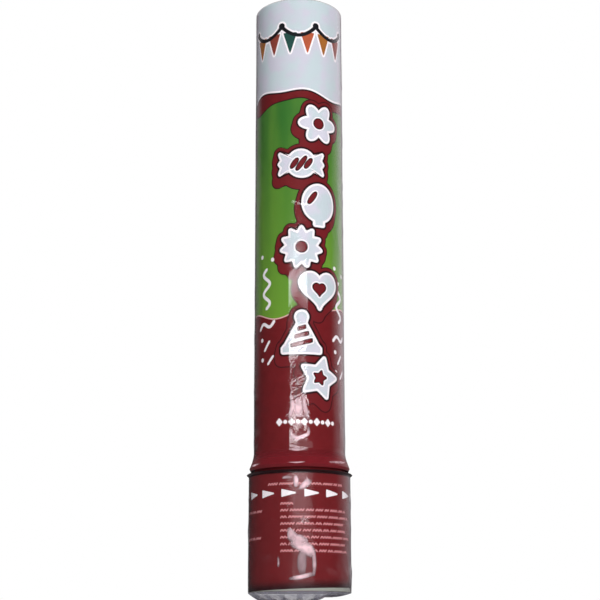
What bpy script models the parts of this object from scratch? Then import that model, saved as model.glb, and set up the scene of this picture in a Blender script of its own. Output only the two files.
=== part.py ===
"""Confetti popper tube: a twist-to-fire paper barrel with an air bottle, release cap and charge.

The popper stands on its base with Z along the tube. Turning the base a quarter turn in the direction
of its arrows turns the air bottle under the release cap. Two helical ridges on the bottle's collar then
lift the cap by its two lugs until its seal leaves the mouth, and the air drives the wad, the pad and
the confetti up the bore. Lengths are in metres.
"""

import math

import bmesh
import bpy

# Whole popper
TUBE_LENGTH = 0.300
FILM_END_DROP = 0.0043
SLEEVE_HEIGHT = 0.056

# Clearances
GLUE_GAP = 0.0003
RUN_GAP = 0.00035

# Paper tubes, printed wraps and shrink film
BARREL_BORE = 0.0394
BARREL_WALL = 0.0019
SLEEVE_WALL = 0.0016
WRAP_THICK = 0.00016
WRAP_SEAM = 0.0004
FILM_THICK = 0.00012
FLARE_HEIGHT = 0.011
FLARE_CREST = 0.0032
FLARE_TUCK = 0.0014
FILM_FIN = 0.0012
FILM_TUCK = 0.0012
GATHER_WIDTH = 0.0065
GATHER_FOOT = 0.0028
GATHER_THICK = 0.0004
PLEAT_COUNT = 16
PLEAT_RISE = 0.0007

# Air bottle, its boot and its filling bung
BOTTLE_DIAMETER = 0.022
BOTTLE_WALL = 0.0008
BOTTLE_BODY = 0.074
SHOULDER_HEIGHT = 0.0105
NECK_DIAMETER = 0.0128
NECK_WALL = 0.0015
NECK_HEIGHT = 0.0115
NECK_LIP = 0.0008
PUNT_RISE = 0.0028
FILL_HOLE = 0.0032
BOOT_WALL = 0.0010
BOOT_FLOOR = 0.0013
BOOT_HEIGHT = 0.011
BOOT_HOLE = 0.0070

# Base plug with its hexagon socket and snap fingers, and the bush that they hook over
PLUG_SET_BACK = 0.0015
PLUG_RECESS = 0.0055
PLUG_FLOOR = 0.0020
PLUG_SKIRT = 0.0012
GUSSET_REACH = 0.0050
GUSSET_THICK = 0.0011
GUSSET_COUNT = 8
FINGER_WALL = 0.0013
FINGER_SLOT = 0.0040
HOOK_CATCH = 0.0011
HOOK_HEIGHT = 0.0026
BUSH_DEPTH = 0.0122
BUSH_WALL = 0.0010
BUSH_LIP = 0.0018
FLANGE_THICK = 0.0016
STOP_HEIGHT = 0.0030
STOP_WIDTH = 0.0021
STOP_ARC = math.radians(14.0)
STOP_SLACK = math.radians(1.2)
TWIST = math.radians(90.0)

# Release cam: ridges on the collar, lugs in the cap
COLLAR_WALL = 0.0013
CAM_LIFT = 0.0030
RIDGE_REACH = 0.0015
RIDGE_THICK = 0.0016
RIDGE_ARC = math.radians(100.0)
LUG_ARC = math.radians(30.0)
LUG_START = math.radians(25.0)
CAM_PAIRS = 2

# Release cap, its seal and the housing that keys it
CAP_WALL = 0.0015
CAP_TOP = 0.0020
STOPPER_LENGTH = 0.0062
STOPPER_GAP = 0.0004
SEAL_SECTION = 0.0012
SEAL_GAP = 0.00015
SEAL_DEPTH = 0.0026
WING_COUNT = 4
WING_THICK = 0.0016
HOUSING_WALL = 0.0014
HOUSING_FLOOR = 0.0016
HOUSING_GRIP = 0.0055
RIB_THICK = 0.0015
RIB_REACH = 0.0032

# Charge and muzzle cap
BORE_GAP = 0.0004
WAD_HEIGHT = 0.010
WAD_TOP = 0.0018
WAD_WALL = 0.0012
PAD_THICK = 0.0060
PAD_EDGE = 0.0008
SLIP_WIDTH = 0.016
SLIP_BATCH = 0.0026
SLIP_SHIFT = 0.00022
TIER_COUNT = 3
CHARGE_HEADROOM = 0.0016
MUZZLE_CAP_DEPTH = 0.0080
MUZZLE_CAP_CARD = 0.0011
MUZZLE_CAP_INSET = 0.0003

# Facets round a turn
SEGMENTS = 48
BOTTLE_SEGMENTS = 32
SEAL_SEGMENTS = 24
FULL_TURN = 2.0 * math.pi

# Radii, from the bore outwards
BORE_R = BARREL_BORE / 2
BARREL_R = BORE_R + BARREL_WALL
BARREL_WRAP_R = BARREL_R + GLUE_GAP + WRAP_THICK
BARREL_FILM_R = BARREL_WRAP_R + GLUE_GAP + FILM_THICK
SLEEVE_IN_R = BARREL_WRAP_R + RUN_GAP
SLEEVE_R = SLEEVE_IN_R + SLEEVE_WALL
BASE_WRAP_R = SLEEVE_R + GLUE_GAP + WRAP_THICK
BASE_FILM_R = BASE_WRAP_R + GLUE_GAP + FILM_THICK

# Radii, from the bottle outwards
BOTTLE_R = BOTTLE_DIAMETER / 2
NECK_R = NECK_DIAMETER / 2
MOUTH_R = NECK_R - NECK_WALL
BOOT_IN_R = BOTTLE_R + GLUE_GAP
BOOT_HALF_FLATS = BOOT_IN_R + BOOT_WALL
SOCKET_HALF_FLATS = BOOT_HALF_FLATS + GLUE_GAP
SOCKET_CORNER_R = SOCKET_HALF_FLATS / math.cos(math.pi / 6)
FINGER_IN_R = SOCKET_CORNER_R + GLUE_GAP
FINGER_R = FINGER_IN_R + FINGER_WALL
BUSH_IN_R = FINGER_R + RUN_GAP
HOOK_R = BUSH_IN_R + HOOK_CATCH
PLUG_R = SLEEVE_IN_R - GLUE_GAP
PLUG_IN_R = PLUG_R - PLUG_SKIRT
COLLAR_IN_R = NECK_R + GLUE_GAP
COLLAR_R = COLLAR_IN_R + COLLAR_WALL
RIDGE_R = COLLAR_R + RIDGE_REACH
CAP_IN_R = RIDGE_R + RUN_GAP
CAP_R = CAP_IN_R + CAP_WALL
HOUSING_R = BORE_R - GLUE_GAP
HOUSING_IN_R = HOUSING_R - HOUSING_WALL
CHARGE_R = BORE_R - BORE_GAP

# Levels, from the surface that the popper stands on
SLEEVE_FOOT = FILM_END_DROP
SLEEVE_TOP = SLEEVE_FOOT + SLEEVE_HEIGHT
MUZZLE = SLEEVE_FOOT + TUBE_LENGTH
BARREL_TOP = MUZZLE - FILM_THICK - GLUE_GAP
PLUG_FOOT = SLEEVE_FOOT + PLUG_SET_BACK
FLOOR_UNDER = PLUG_FOOT + PLUG_RECESS
FLOOR_TOP = FLOOR_UNDER + PLUG_FLOOR
STOP_TOP = FLOOR_TOP + STOP_HEIGHT
FLANGE_UNDER = STOP_TOP + RUN_GAP
BARREL_FOOT = FLANGE_UNDER + FLANGE_THICK + GLUE_GAP
BUSH_TOP = BARREL_FOOT + BUSH_DEPTH
BOOT_FOOT = FLOOR_TOP + GLUE_GAP
SOCKET_TOP = BOOT_FOOT + BOOT_HEIGHT
BOTTLE_FOOT = BOOT_FOOT + BOOT_FLOOR + GLUE_GAP
SHOULDER_FOOT = BOTTLE_FOOT + BOTTLE_BODY
NECK_FOOT = SHOULDER_FOOT + SHOULDER_HEIGHT
MOUTH = NECK_FOOT + NECK_HEIGHT
COLLAR_FOOT = NECK_FOOT + GLUE_GAP
COLLAR_TOP = MOUTH - 2 * NECK_LIP - GLUE_GAP
CAP_UNDER = MOUTH + STOPPER_GAP
CAP_LEVEL = CAP_UNDER + CAP_TOP
HOUSING_FOOT = SHOULDER_FOOT - HOUSING_GRIP
HOUSING_TOP = CAP_LEVEL + CAM_LIFT + RUN_GAP
WAD_FOOT = HOUSING_TOP + GLUE_GAP
PAD_FOOT = WAD_FOOT + WAD_HEIGHT + GLUE_GAP
TIERS_FOOT = PAD_FOOT + PAD_THICK + GLUE_GAP
MUZZLE_CAP_FOOT = BARREL_TOP - MUZZLE_CAP_INSET - MUZZLE_CAP_DEPTH
SLIP_LENGTH = (MUZZLE_CAP_FOOT - CHARGE_HEADROOM - TIERS_FOOT - (TIER_COUNT - 1) * GLUE_GAP) / TIER_COUNT

# Cam: the helix falls as it goes round, so turning the collar forwards lifts what is under a ridge
CAM_SLOPE = -CAM_LIFT / TWIST
RIDGE_LEVEL = (COLLAR_FOOT + COLLAR_TOP) / 2
LUG_LEVEL = RIDGE_LEVEL - RIDGE_THICK - RUN_GAP
LUG_LOW = LUG_LEVEL + CAM_SLOPE * (LUG_START + LUG_ARC / 2) - RIDGE_THICK / 2
CAP_FOOT = LUG_LOW - GLUE_GAP


def clear_scene():
    """Remove every object and collection that the file opened with."""
    for obj in list(bpy.data.objects):
        bpy.data.objects.remove(obj, do_unlink=True)
    for collection in list(bpy.data.collections):
        bpy.data.collections.remove(collection)


def new_collection(name):
    """Make a collection and link it under the scene."""
    collection = bpy.data.collections.new(name)
    bpy.context.scene.collection.children.link(collection)
    return collection


def finish(name, colour, roughness, metallic=0.0):
    """Make a material with a Principled shader."""
    material = bpy.data.materials.new(name)
    material.use_nodes = True
    shader = material.node_tree.nodes["Principled BSDF"]
    shader.inputs["Base Color"].default_value = (*colour, 1.0)
    shader.inputs["Roughness"].default_value = roughness
    shader.inputs["Metallic"].default_value = metallic
    material.diffuse_color = (*colour, 1.0)
    return material


def polar(radius, angle, level):
    """Turn a radius, an angle about Z and a level into a point."""
    return (radius * math.cos(angle), radius * math.sin(angle), level)


def steps(first, last, count):
    """List count + 1 even values from first to last."""
    return [first + (last - first) * i / count for i in range(count + 1)]


def turned_object(name, profile, segments=SEGMENTS, ring=True):
    """Turn (radius, level) points about Z; the profile's outer side runs from top to bottom."""
    mesh = bpy.data.meshes.new(name)
    edges = [(i, i + 1) for i in range(len(profile) - 1)]
    if ring:
        edges.append((len(profile) - 1, 0))
    mesh.from_pydata([(radius, 0.0, level) for radius, level in profile], edges, [])
    obj = bpy.data.objects.new(name, mesh)
    screw = obj.modifiers.new("Turn", "SCREW")
    screw.axis = "Z"
    screw.steps = segments
    screw.render_steps = segments
    screw.use_merge_vertices = True
    screw.merge_threshold = 0.00001
    return obj


def add_loft(bm, sections, closed=False):
    """Add a solid through like-sided sections, as a closed ring or capped at both ends."""
    sides = len(sections[0])
    rows = [[bm.verts.new(point) for point in section] for section in sections]
    pairs = list(zip(rows, rows[1:]))
    if closed:
        pairs.append((rows[-1], rows[0]))
    for row, following in pairs:
        for i in range(sides):
            j = (i + 1) % sides
            bm.faces.new((row[i], row[j], following[j], following[i]))
    if not closed:
        bm.faces.new(rows[0])
        bm.faces.new(rows[-1])


def lofted_object(name, lofts, closed=False):
    """Make one object from lofts, each a list of sections."""
    bm = bmesh.new()
    for sections in lofts:
        add_loft(bm, sections, closed)
    bmesh.ops.recalc_face_normals(bm, faces=bm.faces)
    mesh = bpy.data.meshes.new(name)
    bm.to_mesh(mesh)
    bm.free()
    return bpy.data.objects.new(name, mesh)


def prism_object(name, radius, foot, height, sides):
    """Make an upright prism with its corners on a radius, one of them on +X."""
    bm = bmesh.new()
    bmesh.ops.create_cone(bm, cap_ends=True, segments=sides, radius1=radius, radius2=radius, depth=height)
    bmesh.ops.translate(bm, vec=(0.0, 0.0, foot + height / 2), verts=bm.verts)
    mesh = bpy.data.meshes.new(name)
    bm.to_mesh(mesh)
    bm.free()
    return bpy.data.objects.new(name, mesh)


def sector(inner, outer, foot, top, centre, arc, count=4):
    """List the sections of a block between two radii and two levels, curved about Z."""
    return [[polar(inner, angle, foot), polar(outer, angle, foot), polar(outer, angle, top),
             polar(inner, angle, top)] for angle in steps(centre - arc / 2, centre + arc / 2, count)]


def fin(outline, angle, thickness):
    """List the two sections of a flat plate whose (radius, level) outline stands at an angle."""
    across = (-math.sin(angle) * thickness / 2, math.cos(angle) * thickness / 2)
    sections = []
    for side in (-1.0, 1.0):
        points = [polar(radius, angle, level) for radius, level in outline]
        sections.append([(x + side * across[0], y + side * across[1], z) for x, y, z in points])
    return sections


def helical_bar(root, tip, level, centre, arc, thickness, count):
    """List the sections of a bar that follows the cam's helix and is lower at its two ends."""
    sections = []
    for angle in steps(-arc / 2, arc / 2, count):
        end = abs(angle) > arc / 2 - 1e-6
        reach = root + (tip - root) * (0.5 if end else 1.0)
        middle = level + CAM_SLOPE * (centre[1] + angle)
        half = thickness / 2
        turn = centre[0] + angle
        sections.append([polar(root, turn, middle - half), polar(reach, turn, middle - half * 0.7),
                         polar(reach, turn, middle + half * 0.7), polar(root, turn, middle + half)])
    return sections


class Popper:
    """The popper's objects, its collections and the empties on its joints' axes."""

    def __init__(self):
        """Make the collections, the finishes and an empty for each body."""
        self.parts = new_collection("confetti_popper_tube")
        self.cutters = new_collection("popper_cutters")
        self.board = finish("grey_board", (0.42, 0.36, 0.29), 0.85)
        self.barrel_print = finish("barrel_print", (0.17, 0.016, 0.02), 0.45)
        self.base_print = finish("base_print", (0.17, 0.016, 0.02), 0.45)
        self.film = finish("clear_film", (0.80, 0.80, 0.80), 0.12)
        self.white_plastic = finish("white_moulding", (0.74, 0.74, 0.71), 0.4)
        self.red_plastic = finish("red_moulding", (0.45, 0.03, 0.03), 0.4)
        self.aluminium = finish("bare_aluminium", (0.78, 0.79, 0.80), 0.32, 1.0)
        self.rubber = finish("black_rubber", (0.02, 0.02, 0.02), 0.7)
        self.foam = finish("white_foam", (0.82, 0.82, 0.80), 0.9)
        self.tissue = [finish("tissue_gold", (0.75, 0.48, 0.05), 0.6),
                       finish("tissue_green", (0.10, 0.42, 0.06), 0.6),
                       finish("tissue_red", (0.62, 0.03, 0.04), 0.6),
                       finish("tissue_white", (0.80, 0.80, 0.78), 0.6)]
        self.barrel = self.empty("barrel_body")
        self.base = self.empty("base_twist_axis", self.barrel)
        self.release = self.empty("release_axis", self.barrel)
        self.charge = self.empty("charge_axis", self.barrel)
        self.muzzle = self.empty("muzzle_cap_axis", self.charge)

    def empty(self, name, parent=None):
        """Make an empty on the tube's axis."""
        axis = bpy.data.objects.new(name, None)
        axis.parent = parent
        self.parts.objects.link(axis)
        return axis

    def add(self, obj, material, body):
        """Put a finished piece in its collection, on its body."""
        self.parts.objects.link(obj)
        obj.data.materials.append(material)
        obj.parent = body
        return obj

    def combine(self, target, tool, operation):
        """Cut or join a tool with a Boolean that keeps the tool as a hidden wire object."""
        self.cutters.objects.link(tool)
        tool.hide_render = True
        tool.display_type = "WIRE"
        boolean = target.modifiers.new(tool.name, "BOOLEAN")
        boolean.object = tool
        boolean.operation = operation
        boolean.solver = "EXACT"

    def paper_tube(self, name, inner, outer, foot, top, material, body):
        """Make a plain tube of paper board."""
        profile = [(outer, top), (outer, foot), (inner, foot), (inner, top)]
        return self.add(turned_object(name, profile), material, body)

    def printed_wrap(self, name, inner, outer, foot, top, material, body):
        """Make a printed sheet round a tube, with its butt seam at the back."""
        wrap = self.paper_tube(name, inner, outer, foot, top, material, body)
        outline = [(inner - GLUE_GAP / 2, foot - GLUE_GAP), (outer + GLUE_GAP / 2, foot - GLUE_GAP),
                   (outer + GLUE_GAP / 2, top + GLUE_GAP), (inner - GLUE_GAP / 2, top + GLUE_GAP)]
        seam = lofted_object(name + "_seam", [fin(outline, math.pi / 2 + math.pi / SEGMENTS, WRAP_SEAM)])
        self.combine(wrap, seam, "DIFFERENCE")
        return wrap

    def film_shell(self, name, profile, body):
        """Make a skin of film inside a turned outer line."""
        shell = turned_object(name, profile, ring=False)
        skin = shell.modifiers.new("Film", "SOLIDIFY")
        skin.thickness = FILM_THICK
        skin.offset = -1.0
        skin.use_even_offset = True
        return self.add(shell, self.film, body)

    def build_barrel(self):
        """Make the paper barrel, its print and its film with the flare above the base."""
        self.paper_tube("barrel_tube", BORE_R, BARREL_R, BARREL_FOOT, BARREL_TOP, self.board, self.barrel)
        self.printed_wrap("barrel_wrap", BARREL_R + GLUE_GAP, BARREL_WRAP_R, BARREL_FOOT, BARREL_TOP,
                          self.barrel_print, self.barrel)
        corner = 3 * FILM_THICK
        crest_r = BASE_FILM_R - GLUE_GAP
        crest = SLEEVE_TOP + FLARE_CREST
        flare_top = SLEEVE_TOP + FLARE_HEIGHT
        profile = [(BORE_R + MUZZLE_CAP_INSET, MUZZLE), (BARREL_FILM_R - corner, MUZZLE),
                   (BARREL_FILM_R, MUZZLE - corner)]
        for t in steps(0.0, 1.0, 3):
            profile.append((BARREL_FILM_R + (crest_r - BARREL_FILM_R) * t ** 1.7,
                            flare_top + (crest - flare_top) * t))
        profile.append((crest_r - FILM_FIN / 2, crest - FLARE_TUCK))
        self.film_shell("barrel_film", profile, self.barrel)

    def build_bush(self):
        """Make the bush in the barrel's foot: its lip holds the hooks, and its tabs stop the twist."""
        spigot = BORE_R - GLUE_GAP
        shell = spigot - BUSH_WALL
        shoulder = BARREL_FOOT - GLUE_GAP
        lip_under = BUSH_TOP - BUSH_LIP
        lead = min(HOOK_CATCH, shell - BUSH_IN_R, BUSH_LIP) / 2
        profile = [(spigot, BUSH_TOP), (spigot, shoulder), (BARREL_R, shoulder), (BARREL_R, FLANGE_UNDER),
                   (shell, FLANGE_UNDER), (shell, lip_under), (BUSH_IN_R + lead, lip_under),
                   (BUSH_IN_R, lip_under + lead), (BUSH_IN_R, BUSH_TOP)]
        bush = self.add(turned_object("barrel_bush", profile), self.white_plastic, self.barrel)
        outer = PLUG_IN_R - RUN_GAP
        tabs = [sector(outer - STOP_WIDTH, outer, FLOOR_TOP + RUN_GAP, FLANGE_UNDER + FLANGE_THICK / 2,
                       centre, STOP_ARC) for centre in (0.0, math.pi)]
        self.combine(bush, lofted_object("bush_tabs", tabs), "UNION")

    def build_housing(self):
        """Make the housing that closes the bore round the bottle and keys the cap's wings."""
        hole = BOTTLE_R + RUN_GAP
        floor = HOUSING_FOOT + HOUSING_FLOOR
        profile = [(HOUSING_R, HOUSING_TOP), (HOUSING_R, HOUSING_FOOT), (hole, HOUSING_FOOT), (hole, floor),
                   (HOUSING_IN_R, floor), (HOUSING_IN_R, HOUSING_TOP)]
        housing = self.add(turned_object("valve_housing", profile), self.white_plastic, self.barrel)
        inner = HOUSING_IN_R - RIB_REACH
        outer = HOUSING_R - HOUSING_WALL / 2
        foot = floor - HOUSING_FLOOR / 2
        offset = (WING_THICK + RIB_THICK) / 2 + RUN_GAP
        ribs = []
        for i in range(WING_COUNT):
            angle = FULL_TURN * i / WING_COUNT
            for side in (-offset, offset):
                shift = (-math.sin(angle) * side, math.cos(angle) * side)
                outline = [(inner, foot), (outer, foot), (outer, HOUSING_TOP - RIB_THICK), (inner, CAP_LEVEL)]
                plate = fin(outline, angle, RIB_THICK)
                ribs.append([[(x + shift[0], y + shift[1], z) for x, y, z in row] for row in plate])
        self.combine(housing, lofted_object("housing_ribs", ribs), "UNION")

    def build_base(self):
        """Make the grip: its paper sleeve, its print, its film and the film's gathered end."""
        self.paper_tube("base_sleeve", SLEEVE_IN_R, SLEEVE_R, SLEEVE_FOOT, SLEEVE_TOP, self.board, self.base)
        self.printed_wrap("base_wrap", SLEEVE_R + GLUE_GAP, BASE_WRAP_R, SLEEVE_FOOT, SLEEVE_TOP,
                          self.base_print, self.base)
        over_rim = SLEEVE_TOP + GLUE_GAP + FILM_THICK
        profile = [(SLEEVE_R - FILM_TUCK, over_rim), (BASE_WRAP_R, over_rim),
                   (BASE_FILM_R + FILM_FIN, SLEEVE_TOP + GLUE_GAP), (BASE_FILM_R, SLEEVE_TOP - FILM_FIN / 2),
                   (BASE_FILM_R, SLEEVE_FOOT)]
        self.film_shell("base_film", profile, self.base)
        self.add(self.gathered_film(), self.film, self.base)

    def gathered_film(self):
        """Make the film's end under the base: a puckered ring that turns in to a flat foot."""
        top = SLEEVE_FOOT - GLUE_GAP
        bend_r = BASE_FILM_R - GATHER_WIDTH
        sections = []
        for turn in steps(0.0, FULL_TURN, PLEAT_COUNT * 4)[:-1]:
            pucker = max(0.0, math.cos(PLEAT_COUNT * turn))
            outside, inside = [], []
            for bend in steps(0.0, math.pi / 2, 3):
                rise = PLEAT_RISE * pucker * math.sin(bend) ** 2
                outside.append((bend_r + GATHER_WIDTH * math.cos(bend), top - top * math.sin(bend) + rise))
                inside.append((bend_r + (GATHER_WIDTH - GATHER_THICK) * math.cos(bend),
                               top - (top - GATHER_THICK) * math.sin(bend) + rise))
            edge_r = bend_r - GATHER_FOOT * (1.0 - 0.25 * pucker)
            rise = PLEAT_RISE * pucker
            outside.append((edge_r, rise))
            inside.append((edge_r, rise + GATHER_THICK))
            sections.append([polar(radius, turn, level) for radius, level in outside + inside[::-1]])
        return lofted_object("base_film_gather", [sections], closed=True)

    def build_plug(self):
        """Make the base plug: hexagon socket, snap fingers, twist stops and gussets."""
        fingers_top = BUSH_TOP + RUN_GAP + HOOK_HEIGHT
        hook = BUSH_TOP + RUN_GAP
        profile = [(0.0, SOCKET_TOP), (FINGER_IN_R, SOCKET_TOP), (FINGER_IN_R, fingers_top),
                   (FINGER_R, fingers_top), (HOOK_R, hook + HOOK_HEIGHT * 0.3), (HOOK_R, hook),
                   (FINGER_R, hook), (FINGER_R, FLOOR_TOP), (PLUG_IN_R, FLOOR_TOP), (PLUG_IN_R, STOP_TOP),
                   (PLUG_R, STOP_TOP), (PLUG_R, PLUG_FOOT), (PLUG_IN_R, PLUG_FOOT), (PLUG_IN_R, FLOOR_UNDER),
                   (0.0, FLOOR_UNDER)]
        plug = self.add(turned_object("base_plug", profile, ring=False), self.red_plastic, self.base)
        socket = prism_object("socket_cutter", SOCKET_CORNER_R, FLOOR_TOP, BOOT_HEIGHT * 1.5, 6)
        self.combine(plug, socket, "DIFFERENCE")
        slot_foot = SOCKET_TOP + FINGER_WALL
        slot_top = fingers_top + FINGER_WALL
        outline = [(-BUSH_IN_R - HOOK_R, slot_foot), (BUSH_IN_R + HOOK_R, slot_foot),
                   (BUSH_IN_R + HOOK_R, slot_top), (-BUSH_IN_R - HOOK_R, slot_top)]
        for i, angle in enumerate((math.pi / 4, -math.pi / 4)):
            slot = lofted_object(f"finger_slot_{i + 1}", [fin(outline, angle, FINGER_SLOT)])
            self.combine(plug, slot, "DIFFERENCE")
        self.combine(plug, lofted_object("plug_stops", self.stop_blocks()), "UNION")
        reach = PLUG_IN_R - GUSSET_REACH
        wall = PLUG_IN_R + PLUG_SKIRT / 2
        outline = [(reach, FLOOR_UNDER + PLUG_FLOOR / 2), (wall, FLOOR_UNDER + PLUG_FLOOR / 2),
                   (wall, PLUG_FOOT + GUSSET_THICK), (PLUG_IN_R - GUSSET_THICK, PLUG_FOOT + GUSSET_THICK)]
        gussets = [fin(outline, FULL_TURN * (i + 0.5) / GUSSET_COUNT, GUSSET_THICK)
                   for i in range(GUSSET_COUNT)]
        self.combine(plug, lofted_object("plug_gussets", gussets), "UNION")

    def stop_blocks(self):
        """List the blocks that meet the bush's tabs at each end of the twist."""
        outer = PLUG_IN_R + PLUG_SKIRT / 2
        inner = PLUG_IN_R - RUN_GAP - STOP_WIDTH
        reach = STOP_ARC + STOP_SLACK
        blocks = []
        for tab in (0.0, math.pi):
            for centre in (tab + reach, tab - reach - TWIST):
                blocks.append(sector(inner, outer, FLOOR_TOP - PLUG_FLOOR / 2, STOP_TOP - GLUE_GAP,
                                     centre, STOP_ARC))
        return blocks

    def build_bottle(self):
        """Make the hexagon boot, the aluminium bottle and the bung that it was filled through."""
        boot = self.add(prism_object("bottle_boot", BOOT_HALF_FLATS / math.cos(math.pi / 6), BOOT_FOOT,
                                     BOOT_HEIGHT, 6), self.white_plastic, self.base)
        pocket = prism_object("boot_pocket", BOOT_IN_R, BOOT_FOOT + BOOT_FLOOR, BOOT_HEIGHT, SEGMENTS)
        hole = prism_object("boot_hole", BOOT_HOLE / 2, BOOT_FOOT - BOOT_FLOOR, BOOT_HEIGHT, SEAL_SEGMENTS)
        self.combine(boot, pocket, "DIFFERENCE")
        self.combine(boot, hole, "DIFFERENCE")

        heel = 2 * BOTTLE_WALL
        punt = BOTTLE_FOOT + PUNT_RISE
        lip = MOUTH - 2 * NECK_LIP
        fill_r = FILL_HOLE / 2
        inner = BOTTLE_R - BOTTLE_WALL
        outside = [(NECK_R + NECK_LIP / 2, MOUTH), (NECK_R + NECK_LIP, MOUTH - NECK_LIP / 2),
                   (NECK_R + NECK_LIP, lip + NECK_LIP / 2), (NECK_R, lip)]
        outside += self.shoulder_line(NECK_R, BOTTLE_R, 0.0)
        outside += [(BOTTLE_R, BOTTLE_FOOT + heel), (BOTTLE_R - heel / 2, BOTTLE_FOOT),
                    (BOTTLE_R - 2 * heel, BOTTLE_FOOT), (BOTTLE_R / 2, punt - heel / 2), (fill_r, punt)]
        inside = [(MOUTH_R, MOUTH)]
        inside += self.shoulder_line(MOUTH_R, inner, -BOTTLE_WALL)
        inside += [(inner, BOTTLE_FOOT + heel + BOTTLE_WALL), (inner - heel, BOTTLE_FOOT + heel),
                   (BOTTLE_R / 2, punt + BOTTLE_WALL), (fill_r, punt + BOTTLE_WALL)]
        bottle = turned_object("air_bottle", outside + inside[::-1], BOTTLE_SEGMENTS)
        self.add(bottle, self.aluminium, self.base)

        stem = fill_r - GLUE_GAP
        head = FILL_HOLE * 0.8
        under = punt - heel / 2 - GLUE_GAP
        over = punt + BOTTLE_WALL + GLUE_GAP
        profile = [(0.0, over + stem), (stem, over + stem), (head, over), (stem, over), (stem, under),
                   (head, under), (head, under - stem / 2), (stem, under - stem), (0.0, under - stem)]
        self.add(turned_object("fill_bung", profile, SEAL_SEGMENTS, ring=False), self.rubber, self.base)

    @staticmethod
    def shoulder_line(neck, body, drop):
        """List the points of the bottle's shoulder from its neck down to its body."""
        return [(neck + (body - neck) * (0.5 - 0.5 * math.cos(math.pi * t)),
                 NECK_FOOT + drop - SHOULDER_HEIGHT * t) for t in steps(0.0, 1.0, 4)]

    def build_collar(self):
        """Make the collar on the bottle's neck with its helical ridges."""
        profile = [(COLLAR_R, COLLAR_TOP), (COLLAR_R, COLLAR_FOOT), (COLLAR_IN_R, COLLAR_FOOT),
                   (COLLAR_IN_R, COLLAR_TOP)]
        collar = self.add(turned_object("neck_collar", profile, BOTTLE_SEGMENTS), self.aluminium, self.base)
        root = COLLAR_R - COLLAR_WALL / 2
        ridges = [helical_bar(root, RIDGE_R, RIDGE_LEVEL, (FULL_TURN * i / CAM_PAIRS, 0.0), RIDGE_ARC,
                              RIDGE_THICK, 12) for i in range(CAM_PAIRS)]
        self.combine(collar, lofted_object("collar_ridges", ridges), "UNION")

    def build_release(self):
        """Make the release cap with its stopper, lugs and wings, and the seal on the stopper."""
        stopper = MOUTH_R - GLUE_GAP
        seal_r = MOUTH_R - SEAL_GAP - SEAL_SECTION / 2
        seal_level = MOUTH - SEAL_DEPTH + SEAL_SECTION / 2
        groove = seal_r - SEAL_SECTION / 2 - GLUE_GAP
        half = SEAL_SECTION / 2 + GLUE_GAP
        tip = CAP_UNDER - STOPPER_LENGTH
        profile = [(0.0, CAP_LEVEL), (CAP_R - CAP_WALL / 2, CAP_LEVEL), (CAP_R, CAP_LEVEL - CAP_WALL / 2),
                   (CAP_R, CAP_FOOT), (CAP_IN_R, CAP_FOOT), (CAP_IN_R, CAP_UNDER), (stopper, CAP_UNDER),
                   (stopper, seal_level + half), (groove, seal_level + half), (groove, seal_level - half),
                   (stopper, seal_level - half), (stopper, tip + CAP_WALL / 2), (stopper - CAP_WALL / 2, tip),
                   (0.0, tip)]
        cap = self.add(turned_object("release_cap", profile, BOTTLE_SEGMENTS, ring=False), self.red_plastic,
                       self.release)
        root = CAP_IN_R + CAP_WALL / 2
        lugs = [helical_bar(root, COLLAR_R + RUN_GAP, LUG_LEVEL, (FULL_TURN * i / CAM_PAIRS + LUG_START,
                LUG_START), LUG_ARC, RIDGE_THICK, 4) for i in range(CAM_PAIRS)]
        self.combine(cap, lofted_object("cap_lugs", lugs), "UNION")
        reach = HOUSING_IN_R - RUN_GAP
        wall = CAP_R - CAP_WALL / 2
        outline = [(wall, CAP_FOOT + CAP_WALL), (reach, CAP_FOOT + 2 * CAP_WALL),
                   (reach, CAP_LEVEL - 2 * CAP_TOP), (wall, CAP_LEVEL - CAP_TOP / 2)]
        wings = [fin(outline, FULL_TURN * i / WING_COUNT, WING_THICK) for i in range(WING_COUNT)]
        self.combine(cap, lofted_object("cap_wings", wings), "UNION")

        ring = [(seal_r + SEAL_SECTION / 2 * math.cos(angle), seal_level - SEAL_SECTION / 2 * math.sin(angle))
                for angle in steps(0.0, FULL_TURN, 6)[:-1]]
        self.add(turned_object("stopper_seal", ring, SEAL_SEGMENTS), self.rubber, self.release)

    def build_charge(self):
        """Make the wad, the pad and the tiers of tissue slips."""
        top = WAD_FOOT + WAD_HEIGHT
        under = top - WAD_TOP
        inner = CHARGE_R - WAD_WALL
        profile = [(0.0, top), (CHARGE_R - WAD_WALL, top), (CHARGE_R, top - WAD_WALL), (CHARGE_R, WAD_FOOT),
                   (inner + WAD_WALL / 2, WAD_FOOT), (inner, WAD_FOOT + WAD_WALL), (inner, under),
                   (0.0, under)]
        wad = self.add(turned_object("pusher_wad", profile, ring=False), self.white_plastic, self.charge)
        reach = inner + WAD_WALL / 2
        brace = under - WAD_HEIGHT * 0.35
        outline = [(-reach, under + WAD_TOP / 2), (reach, under + WAD_TOP / 2), (reach, brace),
                   (-reach, brace)]
        for i in range(2):
            cross = lofted_object(f"wad_brace_{i + 1}", [fin(outline, math.pi * i / 2, WAD_WALL)])
            self.combine(wad, cross, "UNION")

        pad = self.add(prism_object("foam_pad", CHARGE_R, PAD_FOOT, PAD_THICK, SEGMENTS), self.foam,
                       self.charge)
        edge = pad.modifiers.new("Edge", "BEVEL")
        edge.width = PAD_EDGE
        edge.segments = 1
        edge.limit_method = "ANGLE"
        edge.angle_limit = math.radians(40.0)

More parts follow.
